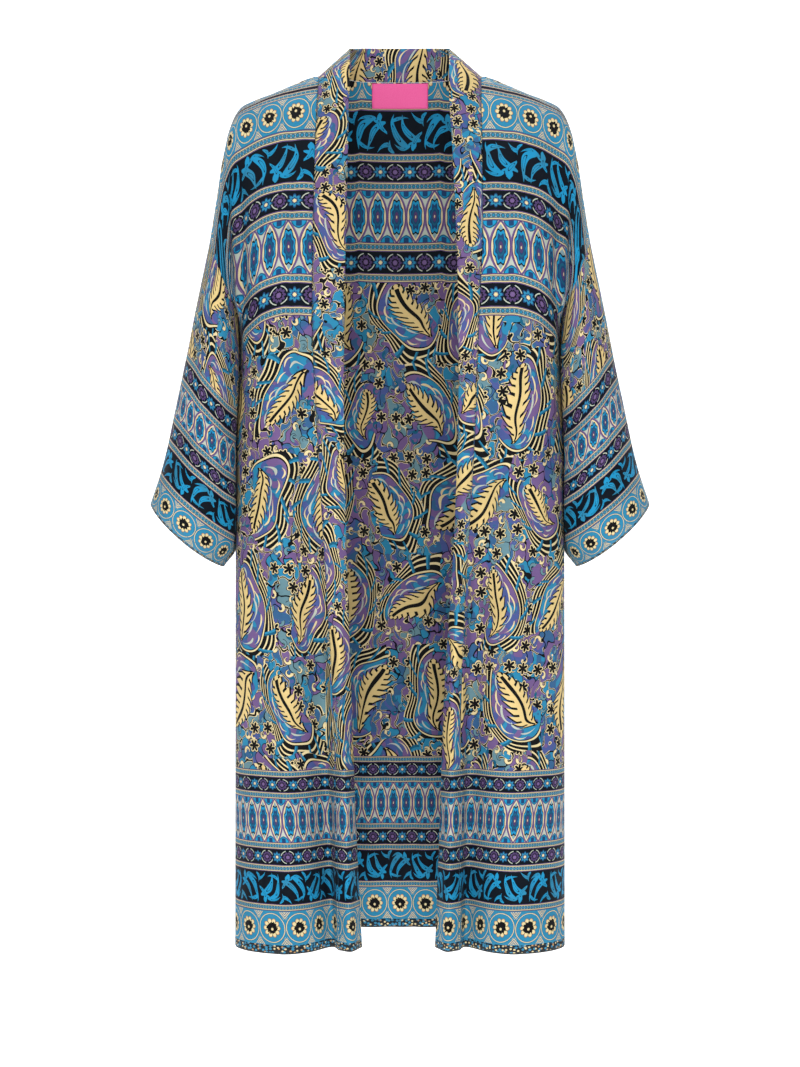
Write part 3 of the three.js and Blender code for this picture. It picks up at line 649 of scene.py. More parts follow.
class Wire:
    """A number on its way through a node tree. Sums and comparisons add Math nodes."""

    def __init__(self, socket):
        self.socket, self.tree = socket, socket.id_data

    __add__ = __radd__ = sign("ADD")
    __mul__ = __rmul__ = __and__ = sign("MULTIPLY")
    __sub__ = sign("SUBTRACT")
    __truediv__ = sign("DIVIDE")
    __lt__ = sign("LESS_THAN")
    __gt__ = sign("GREATER_THAN")
    __or__ = sign("MAXIMUM")

    def __rsub__(self, other):
        return reckon("SUBTRACT", other, self)

    def __abs__(self):
        return self.do("ABSOLUTE")

    def between(self, low, high):
        return self.do("COMPARE", (low + high) / 2, (high - low) / 2)

    def do(self, operation, *others):
        return reckon(operation, self, *others)


def dye(*levels):
    """A colour as the eye reads it, 0 to 255, turned into Blender's linear one."""
    return *[((c / 255 + 0.055) / 1.055) ** 2.4 if c > 10 else c / 255 / 12.92 for c in levels], 1


def lay(under, over, mask):
    """Prints one colour over another where the mask is 1."""
    return tap(add(mask.tree, "Mix", {"Factor": mask, 6: under, 7: over}, data_type="RGBA"), 2)


def paint(colour, coats):
    """Lays coats one over the other, each a colour and its mask."""
    for over, mask in coats:
        colour = lay(colour, over, mask)
    return colour


def steps(colour, field, *rows):
    """Lays coats where a field is under one limit after another: a colour, its limit, and so on."""
    return paint(colour, [(over, field < limit) for over, limit in zip(rows[::2], rows[1::2])])


def pack(*values):
    return tap(add(values[0].tree, "CombineXYZ", values))


def unpack(vector):
    return [Wire(s) for s in add(vector.tree, "SeparateXYZ", (vector,)).outputs]


def radius(x, y):
    return (x * x + y * y).do("SQRT")


def group(title, inputs, outputs, recipe):
    """A node group with named inputs and outputs, filled by a recipe."""
    tree = bpy.data.node_groups.new(title, "ShaderNodeTree")
    for name, value in inputs.items():
        socket = tree.interface.new_socket(name, in_out="INPUT", socket_type=FLOAT)
        socket.default_value = value
    for name, kind in outputs.items():
        tree.interface.new_socket(name, in_out="OUTPUT", socket_type=kind)
    source = tree.nodes.new("NodeGroupInput")
    results = recipe(*[tap(source, name) for name in inputs])
    sink = tree.nodes.new("NodeGroupOutput")
    feed(sink.inputs, results if isinstance(results, (tuple, list)) else (results,))
    print(f"group {title}: {len(tree.nodes)} nodes")
    return tree


def place(made, *values):
    """Puts a group to use in another tree. It gives back its output, or a list of them."""
    outs = [Wire(s) for s in add(values[0].tree, "Group", values, node_tree=made).outputs]
    return outs[0] if len(outs) == 1 else outs


def border(title, recipe):
    return group(f"{title} border", {"Along": 0, "Up": 0.5}, {"Color": COLOR}, recipe)


def layer(title, recipe, **more):
    return group(title, {"Across": 0, "Up": 0}, {"Color": COLOR, **more}, recipe)

# %% [markdown]
# ## The dyes
# Block-printed cloth uses few dyes. These are read off the whole robe: an almost black ink, creams,
# a bright turquoise, slate and periwinkle blues, lilac and a little tan. The last is the grey that a
# worn edge fades to.

# %% Dyes
INK = dye(11, 12, 15)
NIGHT = dye(3, 13, 24)
CREAM = dye(226, 208, 158)
PALE = dye(184, 192, 178)
TAN = dye(196, 150, 96)
TURQUOISE = dye(30, 144, 192)
SEA = dye(44, 132, 170)
TEAL = dye(24, 92, 122)
SLATE = dye(54, 96, 138)
DEEP = dye(30, 66, 108)
PERIWINKLE = dye(74, 88, 146)
LILAC = dye(112, 88, 136)
PURPLE = dye(78, 60, 104)
MIST = dye(100, 136, 146)
FROST = dye(128, 158, 168)
STRAW = dye(222, 196, 134)
WORN = dye(170, 176, 176)
print("17 dyes")

# %% [markdown]
# ## Border motifs
# Each border motif is a node group with two numbers in, how far along the border and how far up it
# (0 to 1), and its colour out. A repeat is one Ping-Pong node: it folds the length into half a motif,
# and the mirrored half comes free.

# %% Braid
BEAD_HALF = 1.8  # half the length of one bead


def braid_recipe(along, up):
    high = up * 8 - 4
    off = abs(high)
    colour = paint(INK, (
        (LILAC, off.between(3.1, 3.7)),
        (CREAM, off.between(2.2, 2.9)),
        (FROST, off < 1.75)))
    side = BEAD_HALF - along.do("PINGPONG", BEAD_HALF)
    bead = radius(side, high)
    return steps(colour, bead, INK, 1.5, SEA, 1.1)


braid = border("Braid", braid_recipe)


# %% Medallions
MEDALLION_HALF = 17.0


def medallion_recipe(along, up):
    rim = along.do("PINGPONG", MEDALLION_HALF)
    x = MEDALLION_HALF - rim
    y = up * 38 - 19
    far = 19 - abs(y)
    sprig = (rim < 7.6 - far * 0.72) & far.between(0.8, 9)
    leaflets = (rim * 0.42 + far * 0.36).do("FRACT")
    colour = paint(SEA, (
        (TEAL, sprig & (leaflets > 0.34)),
        (CREAM, sprig & (leaflets > 0.5)),
        (TAN, sprig & (leaflets > 0.86))))
    r = radius(x, y)
    theta = y.do("ARCTAN2", x)
    colour = steps(colour, r, TEAL, 17.0, CREAM, 16.5, TEAL, 15.7, SEA, 15.3)
    wave = abs((theta * 5).do("COSINE"))
    petal = r / (wave * 0.24 + 0.78)
    colour = steps(colour, petal, TEAL, 11.2, TAN, 10.7, CREAM, 9.9)
    colour = lay(colour, INK, (wave < 0.22) & r.between(5.5, 9.4))
    ragged = (theta * 7 + along * 0.9).do("COSINE") * 0.8
    return paint(colour, (
        (INK, r + ragged < 6.6),
        (CREAM, (x * x + (y + 1.4) * (y + 1.4)) < 2.2)))


medallion = border("Medallion", medallion_recipe)


# %% Scrolling leaves
def noise_at(x, y, size, detail=1.0):
    values = {"Vector": pack(x, y), "Scale": 1 / size, "Detail": detail}
    node = add(x.tree, "TexNoise", values, noise_dimensions="2D")
    return tap(node, "Fac"), tap(node, "Color")


def stroke_field(x, y, cx, cy, degrees, length, width):
    """A curved teardrop of a brush, widest near its far end: under 1 inside, 0 at its heart."""
    c, s = math.cos(math.radians(degrees)), math.sin(math.radians(degrees))
    dx, dy = x - cx, y - cy
    along = (dx * c + dy * s) / length
    across = (dy * c - dx * s + along * along * (0.35 * length)) / width
    full = along * 0.42 + 0.58
    return along * along + (across / full) * (across / full)


def stroke(x, y, *row):
    return stroke_field(x, y, *row) < 1


SCROLL_PITCH, SCROLL_UP = 30, 36
# Middle (along, up), direction in degrees, half length and half width.
SCROLL_STROKES = (
    (7, 19, 66, 16, 4.4), (17, 17, 54, 15, 4.1), (25, 23, 118, 11, 3.6), (27, 7, 30, 8, 2.9),
    (12, 31, 12, 8, 2.8), (11, 5, 165, 7, 2.5), (1, 30, 75, 6, 2.3),
)


def scroll_recipe(along, up):
    y = up * SCROLL_UP
    shift, _ = noise_at(along, y, 19, 0.0)
    x = along + (shift - 0.5) * 5
    y = y + (shift - 0.5) * 4
    turn = x / SCROLL_PITCH
    cell = turn.do("FLOOR")
    odd = abs(cell.do("MODULO", 2.0))
    x = (turn - cell) * SCROLL_PITCH
    y = y + odd * (SCROLL_UP - y * 2)
    nearest = None
    for row in SCROLL_STROKES:
        field = stroke_field(x, y, *row)
        nearest = field if nearest is None else nearest.do("MINIMUM", field)
    hook_x, hook_y = x - 22, y - 30
    hook = abs(radius(hook_x, hook_y) - 3.4)
    curl = (nearest < 1) | ((hook < 1.0) & (hook_x - hook_y > -3))
    slit = nearest.between(0.14, 0.22)
    fill = lay(SEA, TURQUOISE, (shift - 0.3) * 4)
    return paint(NIGHT, (
        (fill, curl),
        (NIGHT, slit)))


scroll = border("Scroll", scroll_recipe)


# %% Flower border
def floral_recipe(along, up):
    y = up * 17 - 8.5
    x = (along / 26).do("FRACT") * 26
    ax = x - 7
    r = radius(ax, y)
    theta = y.do("ARCTAN2", ax)
    petal = r / (abs((theta * 5).do("COSINE")) * 0.3 + 0.72)
    colour = steps(NIGHT, petal, PURPLE, 5.8, INK, 3.6, LILAC, 2.2)
    bracket = (r + abs(y) * 0.12).between(7.4, 8.3) & (abs(y) > 1.6) & (abs(ax) > 1.8)
    colour = lay(colour, PALE, bracket)
    bx = x - 20
    r = radius(bx, y)
    theta = y.do("ARCTAN2", bx)
    petal = r / (abs((theta * 4).do("COSINE")) * 0.42 + 0.64)
    return steps(colour, petal, DEEP, 6.0, SEA, 4.9, DEEP, 3.0, CREAM, 1.7)


floral = border("Flower", floral_recipe)


# %% Pointed ovals
OGEE_HALF = 8.4


def ogee_recipe(along, up):
    rim = along.do("PINGPONG", OGEE_HALF)
    x = OGEE_HALF - rim
    y = abs(up * 48 - 24)
    wide = 7.5 - (y / 23.5).do("POWER", 2.1) * 7.5
    off = x - wide
    colour = lay(FROST, PALE, off > 1.6)
    fan = radius(rim, 25 - y)
    colour = paint(colour, (
        (TEAL, fan < 8.2 - rim * 0.3),
        (TURQUOISE, fan < 6.9 - rim * 0.3),
        (DEEP, (fan < 5.8) & (rim < 2.2)),
        (LILAC, off.between(-0.3, 1.7)),
        (PURPLE, off.between(0.1, 0.6)),
        (CREAM, off.between(-1.9, -0.3)),
        (FROST, off < -1.6)))
    oval = radius(x / 5.0, y / 14.5)
    scallop = (y.do("ARCTAN2", x * 2.6) * 8).do("COSINE") * 0.1
    edge = oval + scallop
    colour = steps(colour, edge, INK, 1.16, TURQUOISE, 1.04, DEEP, 0.82)
    return steps(colour, oval, TEAL, 0.6, DEEP, 0.46, PURPLE, 0.34, CREAM, 0.1)


ogee = border("Ogee", ogee_recipe)


# %% Edge strip
def cells_at(x, y, size_x, size_y, feature="F1", spread=0.9):
    values = {"Vector": pack(x / size_x, y / size_y), "Scale": 1, "Randomness": spread}
    return add(x.tree, "TexVoronoi", values, voronoi_dimensions="2D", feature=feature)


def edge_recipe(along, up):
    y = up * 10
    node = cells_at(along, y, 4.6, 3.4)
    near = tap(node, "Distance")
    pick, _, _ = unpack(tap(node, "Color"))
    return paint(NIGHT, (
        (SEA, (near < 0.4) & (pick > 0.45)),
        (CREAM, (near < 0.3) & (pick < 0.45)),
        (TAN, (near < 0.3) & (pick < 0.12)),
        (INK, up < 0.14)))


edge_strip = border("Edge", edge_recipe)

# %% [markdown]
# ## The paisley field
# The big field is built in layers, as a printer lays one block over another: patches of ground
# colour with drawn outlines, small commas, star flowers, then in each cell of a brick-like grid one
# serrated leaf inside a striped feather arc, turned by chance. A drawn image would be easier, but
# nodes stay sharp at any size.

# %% Ground and commas
PATCH_SIZE, COMMA_SIZE = (13, 19), (13, 14)
TURNS = 0.15915  # full turns in one radian


def ground_recipe(across, up):
    _, drift = noise_at(across, up, 24, 1.0)
    dx, dy, broad = unpack(drift)
    x = across + (dx - 0.5) * 34
    y = up + (dy - 0.5) * 34
    patch = cells_at(x, y, *PATCH_SIZE)
    pick, second, _ = unpack(tap(patch, "Color"))
    pick = pick + (broad - 0.5) * 1.1
    colour = paint(SLATE, (
        (SEA, pick < 0.2),
        (PERIWINKLE, pick > 0.42),
        (LILAC, pick > 0.58),
        (MIST, second > 0.9)))
    line = tap(cells_at(x, y, *PATCH_SIZE, "DISTANCE_TO_EDGE"), "Distance")
    colour = paint(colour, (
        (CREAM, (line < 0.085) & (dx > 0.47)),
        (INK, line < 0.05)))
    comma = cells_at(across, up, *COMMA_SIZE)
    place_x, place_y, _ = unpack(tap(comma, "Position"))
    tint, lean, _ = unpack(tap(comma, "Color"))
    cx, cy = across / COMMA_SIZE[0] - place_x, up / COMMA_SIZE[1] - place_y
    along = (cy.do("ARCTAN2", cx) * TURNS + lean).do("FRACT")
    body = (1 - along * 1.3) * 0.15
    away = abs(radius(cx, cy) - 0.25)
    shape = away < body
    return paint(colour, (
        (INK, (away < body + 0.045) & (body > 0.02) & (tint < 0.62)),
        (CREAM, shape & (tint < 0.4)),
        (MIST, shape & tint.between(0.4, 0.62)),
        (TEAL, shape & (tint > 0.84))))


ground = layer("Paisley ground", ground_recipe)


# %% Star flowers
STAR_PITCH = (21, 22)


def chance(x, y):
    """Three numbers by chance, always the same ones for the same place."""
    node = add(x.tree, "TexWhiteNoise", {"Vector": pack(x, y)}, noise_dimensions="2D")
    return unpack(tap(node, "Color"))


def flower_recipe(across, up):
    gx, gy = across / STAR_PITCH[0], up / STAR_PITCH[1]
    ix, iy = gx.do("FLOOR"), gy.do("FLOOR")
    a, b, c = chance(ix, iy)
    x = (gx - ix - 0.5) * STAR_PITCH[0] - (a - 0.5) * 6
    y = (gy - iy - 0.5) * STAR_PITCH[1] - (b - 0.5) * 7
    r = radius(x, y)
    arms = abs((y.do("ARCTAN2", x) * 3 + c * 5).do("COSINE"))
    petals = r / (arms * 0.42 + 0.58)
    spikes = r / (arms * 0.64 + 0.36)
    here = c < 0.52
    mask = (petals < 8.6) & here
    colour = paint(INK, (
        (CREAM, petals < 7.8),
        (INK, spikes < 6.7)))
    return colour, mask


flower = layer("Star flowers", flower_recipe, Mask=FLOAT)

# %% Serrated leaf in its feather arc
LEAF_PITCH = (84.0, 112.0)
QUILLS = (
    (-16, -9, 104, 13, 1.9), (-19, 12, 92, 12, 1.8), (-9, -27, 118, 10, 1.6), (-21, -24, 112, 9, 1.5),
    (-12, 33, 64, 11, 1.9), (-22, 1, 96, 9, 1.4), (-4, -43, 150, 9, 1.6), (-15, -41, 130, 7, 1.3),
)


def leaf_recipe(across, up):
    _, drift = noise_at(across, up, 58, 0.0)
    dx, dy, hue = unpack(drift)
    across = across + (dx - 0.5) * 26
    up = up + (dy - 0.5) * 26
    row = up / LEAF_PITCH[1]
    iy = row.do("FLOOR")
    column = across / LEAF_PITCH[0] + iy * 0.37
    ix = column.do("FLOOR")
    a, b, c = chance(ix + 7, iy + 3)
    x0 = (column - ix - 0.5) * LEAF_PITCH[0] - (b - 0.5) * 8
    y0 = (row - iy - 0.5) * LEAF_PITCH[1] - (c - 0.5) * 8
    side = (b > 0.5) * 2 - 1
    lean = (a - 0.5) * 1.5
    size = 0.86 + c * 0.2
    cs, sn = lean.do("COSINE") / size, lean.do("SINE") / size
    x = (x0 * cs + y0 * sn) * side
    y = (y0 * cs - x0 * sn) * ((a.do("FRACT") * 7).do("FRACT").do("GREATER_THAN", 0.3) * 2 - 1)
    ring = radius(x / 30, (y + 2) / 54)
    theta = (y + 2).do("ARCTAN2", x * 1.7)
    hook = x + y * 0.35 < 6
    feather = ring.between(1.01, 1.4) & hook
    inner = (ring < 1.02) & (x + y * 0.35 < 11)
    mask = inner | feather
    _, spots = noise_at(across, up, 13, 0.0)
    near_hue, far_hue, _ = unpack(spots)
    colour = paint(SLATE, (
        (LILAC, near_hue + hue > 1.04),
        (SEA, near_hue + hue < 0.9),
        (PERIWINKLE, far_hue > 0.6)))
    for number, row_of in enumerate(QUILLS):
        colour = lay(colour, CREAM if number % 2 else PALE, stroke(x, y, *row_of))
    colour = paint(colour, (
        (INK, ring > 0.92),
        (CREAM, ring > 0.945),
        (INK, ring > 0.985)))
    threads = ((ring - 1.01) * 7.7).do("FRACT")
    quill = lay(INK, CREAM, threads > 0.66)
    ties = (theta * 2.1 + ring * 1.2).do("FRACT")
    quill = lay(quill, TEAL, ties < 0.2)
    quill = lay(quill, SEA, ties < 0.1)
    colour = lay(colour, quill, feather)
    tail = (-20 - y).do("MAXIMUM", 0)
    reach = abs(x + y * y * 0.003 - 3 - tail * tail * 0.022)
    s = (41 - y) / 84
    inside = s.between(0, 1)
    s = s.do("MAXIMUM", 0.001).do("MINIMUM", 0.999)
    wide = s.do("POWER", 0.6) * (1 - s).do("POWER", 0.85) * 23
    barb = (y / 8.6 - reach * 0.07).do("FRACT")
    edge = wide + barb * wide * 0.74
    colour = paint(colour, (
        (INK, (reach < edge + 2.1) & inside),
        (STRAW, (reach < edge) & inside),
        (INK, (barb < 0.32) & (reach > wide * 0.72) & (reach < edge) & inside),
        (INK, (reach < 2.6 - s * 1.7) & s.between(0.06, 0.97) & inside)))
    mask = mask | ((reach < edge + 2.1) & inside)
    return colour, mask


leaves = layer("Leaf and feather", leaf_recipe, Mask=FLOAT)


# %% Paisley, whole
def paisley_recipe(across, up):
    colour = place(ground, across, up)
    stars, mask = place(flower, across, up)
    colour = lay(colour, stars, mask)
    big, mask = place(leaves, across, up)
    return lay(colour, big, mask)


paisley = layer("Paisley field", paisley_recipe)

# %% [markdown]
# ## Where each border lies
# The borders follow each other from the edge of the cloth inwards in a fixed order. One running
# number counts them: 0 to 1 is the edge strip, 1 to 2 the medallions, and so on to 11, where the
# paisley begins. Each Map Range node adds one border, so only this table changes between the hem,
# the shoulders and the cuffs.

# %% Border places
BORDER_PLACES = {  # the start, then the upper limit of each border, in millimetres from the edge
    "hem": (0, 10, 48, 56, 92, 100, 117, 125, 173, 181, 197, 205),
    "yoke": (3, 13, 64, 78, 127, 138, 160, 172, 232, 243.5, 268.5, 280),
    "cuff": (0, 2.5, 31.5, 40.5, 71.2, 80.7, 97.7, 107.2, 142.7, 152.2, 170.7, 180.2),
}


def places_recipe(places):
    def recipe(height):
        total = None
        for low, high in zip(places, places[1:]):
            share = add(height.tree, "MapRange", {"Value": height, "From Min": low, "From Max": high})
            step = tap(share, "Result")
            total = step if total is None else total + step
        return total
    return recipe


border_count = {
    name: group(f"Borders from the {name}", {"Height": 0}, {"Count": FLOAT}, places_recipe(places))
    for name, places in BORDER_PLACES.items()
}


def print_recipe(across, up, count, stretch, size, strip):
    colour = place(paisley, across / size, up / size)
    whole_count = count.do("FLOOR")
    share = count - whole_count
    along = across / stretch
    motifs = (
        (braid, along, (whole_count.do("MODULO", 2.0) < 0.5) & (count < 11)),
        (edge_strip, along, count < strip),
        (medallion, across, count.between(1, 2)),
        (scroll, along, count.between(3, 4)),
        (floral, along, count.between(5, 6) | count.between(9, 10)),
        (ogee, along, count.between(7, 8)))
    return paint(colour, [(place(motif, run, share), where) for motif, run, where in motifs])


PRINT_INPUTS = {"Across": 0, "Up": 0, "Border count": 11, "Stretch": 1, "Print size": 1, "Strip": 1}
robe_print = group("Robe print", PRINT_INPUTS, {"Color": COLOR}, print_recipe)

# %% [markdown]
# ## The cloth itself
# Viscose crepe has a fine pebbled face, slubs where a thread is thicker, and dye that never lies
# quite even. It fades first along folded edges. One group gives the tone and the relief for every
# cloth here, and each material chooses how strong they are.

# %% Crepe
def crepe_recipe(across, up, wear, pebble_size):
    pebble, _ = noise_at(across / pebble_size, up / pebble_size, 0.9, 1.0)
    slub, _ = noise_at(across / 22, up, 0.9, 1.0)
    soft, _ = noise_at(across, up, 17, 1.0)
    weave = (across * 9).do("SINE") * (up * 9).do("SINE")
    turned_up = ((9.4 - up) * 2).do("MAXIMUM", 0).do("MINIMUM", 1)
    height = pebble * 0.5 + slub * 0.14 + weave * 0.06 + soft * 1.6 + turned_up * 0.7
    cloudy, _ = noise_at(across, up, 60, 0.0)
    tone = (cloudy - 0.5) * 0.22 + (slub - 0.5) * 0.12 + (pebble - 0.5) * 0.16 + 0.92
    fade = (1 - (up / 14)).do("MAXIMUM", 0) * wear
    return tone, height, fade.do("MINIMUM", 1), soft


CREPE_INPUTS = {"Across": 0, "Up": 100, "Wear": 0.3, "Pebble size": 1}
CREPE_OUTPUTS = {"Tone": FLOAT, "Height": FLOAT, "Fade": FLOAT, "Soft": FLOAT}
crepe = group("Crepe cloth", CREPE_INPUTS, CREPE_OUTPUTS, crepe_recipe)


def uv_map(tree, title):
    x, y, _ = unpack(tap(add(tree, "UVMap", uv_map=title)))
    return x * 1000, y * 1000


def new_material(title):
    material = bpy.data.materials.new(title)
    material.use_nodes = True
    return material, material.node_tree, material.node_tree.nodes["Principled BSDF"]


def dress_face(face, values, relief, strength, distance):
    """Wires and plain numbers into the face of a material, and its relief through a Bump node."""
    bump = add(relief.tree, "Bump", {"Strength": strength, "Distance": distance, "Height": relief})
    feed(face.inputs, {**values, "Normal": tap(bump)})


YOKE_STRETCH = 1.5  # the upper borders are printed half as long again


def printed_cloth(title, edge, wear, yoke=False, stretch=1.0, size=1.0):
    material, tree, face = new_material(title)
    across, up = uv_map(tree, "print")
    count = place(border_count[edge], up)
    widen, strip = stretch, 1
    if yoke:
        _, drop = uv_map(tree, "yoke")
        upper = place(border_count["yoke"], drop)
        is_upper = upper < count
        widen = is_upper * (YOKE_STRETCH - stretch) + stretch
        strip = 1 - is_upper
        count = count.do("MINIMUM", upper)
    printed = place(robe_print, across, up, count, widen, size, strip)
    tone, height, fade, soft = place(crepe, across, up, wear, 1.0)
    shade = add(tree, "VectorMath", {0: printed, "Scale": tone}, operation="SCALE")
    values = {
        "Base Color": lay(tap(shade), WORN, fade * 0.14), "Roughness": soft * 0.14 + 0.66,
        "Specular IOR Level": 0.12, "Sheen Weight": 0.02, "Sheen Roughness": 0.45,
    }
    dress_face(face, values, height, 0.35, 0.0006)
    return material


body_cloth = printed_cloth("printed crepe body", "hem", 0.5, yoke=True)
sleeve_cloth = printed_cloth("printed crepe sleeve", "cuff", 0.7, stretch=1.31)
band_cloth = printed_cloth("printed crepe band", "hem", 0.6, size=0.86)
print("cloths:", body_cloth.name, sleeve_cloth.name, band_cloth.name)


# %% Label cloth
def label_material():
    material, tree, face = new_material("pink satin tape")
    across, up = uv_map(tree, "print")
    ribs = (up * 7.5).do("SINE")
    fine, _ = noise_at(across, up, 1.3, 2.0)
    colour = lay(dye(246, 68, 150), dye(255, 100, 174), fine * 0.8 + ribs * 0.06)
    values = {"Base Color": colour, "Roughness": fine * 0.2 + 0.36, "Sheen Weight": 0.2}
    dress_face(face, values, ribs * 0.5 + fine, 0.4, 0.0003)
    return material


label_cloth = label_material()
print("label:", label_cloth.name)

# %% [markdown]
# ## Dressing the frame
# Each shell stands in for the imported node of the same name and rides on the robe's one body.

# %% Sew the shells
WALLS = {"band_left": 2.2, "band_right": 2.2, "neckband": 2.2}  # folded double
SINGLE = 0.9  # one layer of the crepe, in millimetres
for name, p in pieces.items():
    kind = "sleeve" if name.startswith("sleeve") else "band" if "band" in name else "body"
    cloth = {"sleeve": sleeve_cloth, "band": band_cloth, "body": body_cloth}[kind]
    piece, area = shell(f"{name}_cloth", p, WALLS.get(name, SINGLE), cloth)
    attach(piece, "root")
    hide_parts(name)
    "band" if kind == "band" else "panel"

# %% [markdown]
# ## The label
# A plain woven tape sewn inside the back neck. It follows the cloth it lies on, so its points are
# the back's own, moved inwards by the two thicknesses.

# %% Label
LABEL_WIDE, LABEL_HIGH, LABEL_TOP = 66.0, 30.0, 1.6
LABEL_CLEAR, LABEL_TILT = 3.0, 0.02  # how far it stands off the back, and how much more by its foot
back_grid = whole["grid"]
fall = walked(back_grid, 0)


def read_off(where, run, points):
    """What stands at one distance, or at many, along a line of points."""
    return np.array([np.interp(where, run, points[:, k]) for k in range(3)]).T


def inside_back(x, drop):
    line = np.array([read_off(drop, fall[:, j], back_grid[:, j]) for j in range(back_grid.shape[1])])
    return read_off(x, line[:, 0], line)


def label_point(x, drop):
    return inside_back(x, drop) - (0, LABEL_CLEAR + LABEL_TILT * drop, 0)


columns = np.linspace(-LABEL_WIDE / 2, LABEL_WIDE / 2, 25)
drops = np.linspace(LABEL_TOP, LABEL_TOP + LABEL_HIGH, 13)
label_grid = np.array([[label_point(x, drop) for x in columns] for drop in drops])
label_panel = panel(label_grid, walked(label_grid, 1), up_from_hem(label_grid))
label_panel["normals"] = -normals_of(label_grid)
label_panel = turned(label_panel)
piece, area = shell("label_cloth", label_panel, 0.7, label_cloth)
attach(piece, "root")
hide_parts("label")

# %% [markdown]
# ## Stitching
# Hem and cuffs are turned up twice and run down with a lockstitch, the bands are edge-stitched
# beside their seams and the label is caught at its two short ends. A curve with a dotted profile
# would give round thread at a high price. Here a stitch is a small three-sided bar, and the stitches
# of one panel are one mesh made from arrays.

# %% Stitches
PITCH, LABEL_PITCH = 2.6, 2.0  # from one stitch to the next, in millimetres
STITCH_SHARE, HALF_THREAD = 0.72, 0.2
PROUD = 0.03  # how far the thread's foot stands off the cloth
HEM_LINE, BAND_LINE, LABEL_LINE = 8.2, 1.8, 1.4  # how far from the edge each row of stitches runs
NECK_LINE = NECK_PRINT + BAND_LINE
BAR_FACES = np.array(((0, 1, 4, 3), (1, 2, 5, 4), (0, 3, 5, 2)))
BAR_ENDS = np.array(((0, 2, 1), (3, 4, 5)))
BAR_CORNERS = (
    (0.1, 0.1), (0.1, 0.4), (0.9, 0.4), (0.9, 0.1), (0.1, 0.4), (0.1, 0.6), (0.9, 0.6), (0.9, 0.4),
    (0.1, 0.7), (0.9, 0.7), (0.9, 0.9), (0.1, 0.9),
    (0.0, 0.1), (0.0, 0.4), (0.05, 0.2), (1.0, 0.1), (1.0, 0.4), (0.95, 0.2),
)


def level_line(p, height):
    """Points and outward directions at one height above the hem, a column at a time."""
    lines = []
    for field in (p["grid"], outward(p)):
        columns = range(field.shape[1])
        lines.append(np.array([read_off(height, p["hem"][::-1, j], field[::-1, j]) for j in columns]))
    if p["closed"]:
        lines = [np.vstack([line, line[:1]]) for line in lines]
    return lines


def beside_edge(p, last, inset):
    """Points and outward directions at one distance in from a side edge, a row at a time."""
    grid, normals = (field[:, ::-1] if last else field for field in (p["grid"], outward(p)))
    reach = walked(grid, 1)
    rows = range(len(grid))
    return [np.array([read_off(inset, reach[i], field[i]) for i in rows]) for field in (grid, normals)]


def bars(line, normals, depth, pitch=PITCH):
    run = np.concatenate([[0], np.cumsum(np.linalg.norm(np.diff(line, axis=0), axis=1))])
    starts = np.arange(pitch, run[-1] - pitch, pitch)
    up = read_off(starts, run, normals)
    up /= np.linalg.norm(up, axis=1, keepdims=True)
    a, b = (read_off(d, run, line) - up * depth for d in (starts, starts + pitch * STITCH_SHARE))
    up = up if depth <= 0 else -up
    side = np.cross(b - a, up)
    side *= HALF_THREAD / np.linalg.norm(side, axis=1, keepdims=True)
    return np.stack([end + way for end in (a, b) for way in (-side, up * HALF_THREAD, side)], 1)


def stitch_mesh(name, runs, material, slot):
    corners = np.vstack(runs)
    count = len(corners)
    first = (np.arange(count) * 6)[:, None, None]
    quads, ends = BAR_FACES[None] + first, BAR_ENDS[None] + first
    faces = [f for k in range(count) for f in (*quads[k].tolist(), *ends[k].tolist())]
    mesh = bpy.data.meshes.new(name)
    mesh.from_pydata((corners.reshape(-1, 3) * MM).tolist(), [], faces)
    wide = math.ceil(math.sqrt(count))
    cell = np.stack([np.arange(count) % wide, np.arange(count) // wide], 1)[:, None]
    write_map(mesh, "OFBake", (cell + np.array(BAR_CORNERS)[None] * 0.9) / wide)
    piece = hang(mesh, material)
    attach(piece, "root")
    return count


def thread_material(title, dark, light):
    material, tree, face = new_material(title)
    x, y, z = unpack(tap(add(tree, "TexCoord"), "Object"))
    twist = ((x + y + z) * 9000).do("SINE")
    shade, _ = noise_at(x * 1000, z * 1000, 2.0)
    colour = lay(dark, light, shade * 0.7 + twist * 0.15)
    values = {"Base Color": colour, "Roughness": 0.6, "Sheen Weight": 0.1}
    dress_face(face, values, twist, 1.0, 0.0001)
    return material


teal_thread = thread_material("teal lockstitch", dye(28, 60, 84), dye(70, 110, 132))
pink_thread = thread_material("pink lockstitch", dye(206, 58, 126), dye(252, 128, 186))
made = 0
for name, p in pieces.items():
    runs = []
    if name != "neckband":
        run = level_line(p, HEM_LINE)
        runs += [bars(*run, -PROUD), bars(*run, WALLS.get(name, SINGLE) + PROUD)]
    if "band" in name:
        on_neck = name == "neckband"
        run = level_line(p, NECK_LINE) if on_neck else beside_edge(p, name == "band_left", BAND_LINE)
        runs += [bars(*run, -PROUD)]
    made += stitch_mesh(f"{name}_stitches", runs, teal_thread, "band" if "band" in name else "panel")
ends = [bars(*beside_edge(label_panel, last, LABEL_LINE), -PROUD, LABEL_PITCH) for last in (False, True)]
made += stitch_mesh("label_stitches", ends, pink_thread, "label")
print(made, "stitches,", made * 8, "triangles")

# %% [markdown]
# ## Room, light and camera
# The robe hangs as if worn, above a pale studio floor that sweeps up behind it. Large soft lamps
# keep shadows faint, as in catalogue light. The camera stands three metres away, level with the
# middle of the robe, with a long lens so that sleeves and hem keep their proportions.

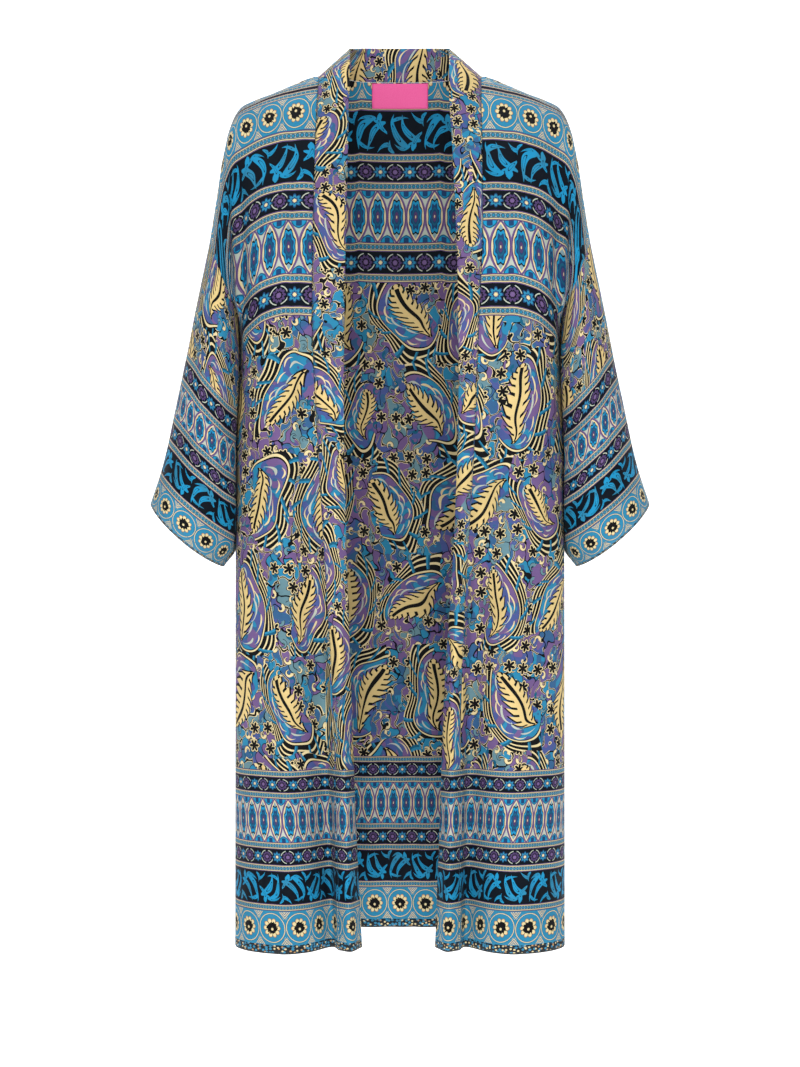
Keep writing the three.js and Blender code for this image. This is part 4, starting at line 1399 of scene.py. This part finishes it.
# %% Studio
FLOOR, WALL_TOP, HALF_WIDE = -1.37, 2.4, 3.4
BEND_START, BEND = 0.35, 0.75  # where the paper begins to rise, and the radius of its bend
bend = np.linspace(0.1, math.pi / 2, 14)
profile = [(-3.2, FLOOR), (BEND_START, FLOOR)]
profile += [(BEND_START + BEND * math.sin(a), FLOOR + BEND * (1 - math.cos(a))) for a in bend]
profile += [(BEND_START + BEND, WALL_TOP)]
points = [(x, y, z) for y, z in profile for x in (-HALF_WIDE, HALF_WIDE)]
quads = [(2 * k, 2 * k + 1, 2 * k + 3, 2 * k + 2) for k in range(len(profile) - 1)]
sweep_mesh = bpy.data.meshes.new("studio_sweep")
sweep_mesh.from_pydata(points, [], quads)
sweep_mesh.shade_smooth()
paper, tree, face = new_material("studio paper")
grain = add(tree, "TexNoise", {"Scale": 3})
ramp = add(tree, "ValToRGB", {"Fac": tap(grain, "Fac")})
for stop, grey in zip(ramp.color_ramp.elements, (0.86, 0.9)):
    stop.color = (grey, grey, grey, 1)
values = {"Base Color": tap(ramp, "Color"), "Roughness": 0.9}
feed(face.inputs, {**values, "Emission Color": (1, 1, 1, 1), "Emission Strength": 0.5})
behind = tap(add(tree, "NewGeometry"), "Backfacing")  # from behind, the paper is clear
either = add(tree, "MixShader", (behind, tap(face), tap(add(tree, "BsdfTransparent"))))
feed(tree.nodes["Material Output"].inputs, {"Surface": tap(either)})
sweep = hang(sweep_mesh, paper)


def lamp(title, spot, aim, size, power):
    data = bpy.data.lights.new(title, "AREA")
    data.shape = "RECTANGLE"
    data.size, data.size_y = size
    data.energy = power
    made = bpy.data.objects.new(title, data)
    made.location = spot
    made.rotation_euler = (Vector(aim) - Vector(spot)).to_track_quat("-Z", "Y").to_euler()
    bpy.context.scene.collection.objects.link(made)


lamp("key softbox", (-1.9, -2.6, 0.9), (0, 0, -0.45), (1.6, 2.2), 18)
lamp("fill softbox", (2.1, -2.4, 0.2), (0, 0, -0.5), (1.8, 2.2), 10)
lamp("front softbox", (0, -3.7, 0), (0, 0, -0.5), (1.8, 1.8), 74)
lamp("overhead", (0, -0.3, 2.2), (0, 0.1, -0.5), (2.4, 1.8), 14)
lamp("backdrop wash", (0, 0.2, 2.0), (0, 1.1, -0.6), (3.0, 0.6), 30)
bpy.context.scene.view_settings.view_transform = "Standard"
world = bpy.data.worlds.new("studio air")
bpy.context.scene.world = world
world.use_nodes = True
feed(world.node_tree.nodes["Background"].inputs, {"Color": (0.95, 0.97, 1, 1), "Strength": 0.26})

camera_data = bpy.data.cameras.new("photo camera")
camera_data.lens = 88.03
camera_data.sensor_width = 36
camera = bpy.data.objects.new("photo camera", camera_data)
camera.location = (0, -3.0, -0.526)
camera.rotation_euler = (math.pi / 2, 0, 0)
bpy.context.scene.collection.objects.link(camera)
bpy.context.scene.camera = camera
print("camera at", tuple(camera.location), "lens", camera_data.lens)
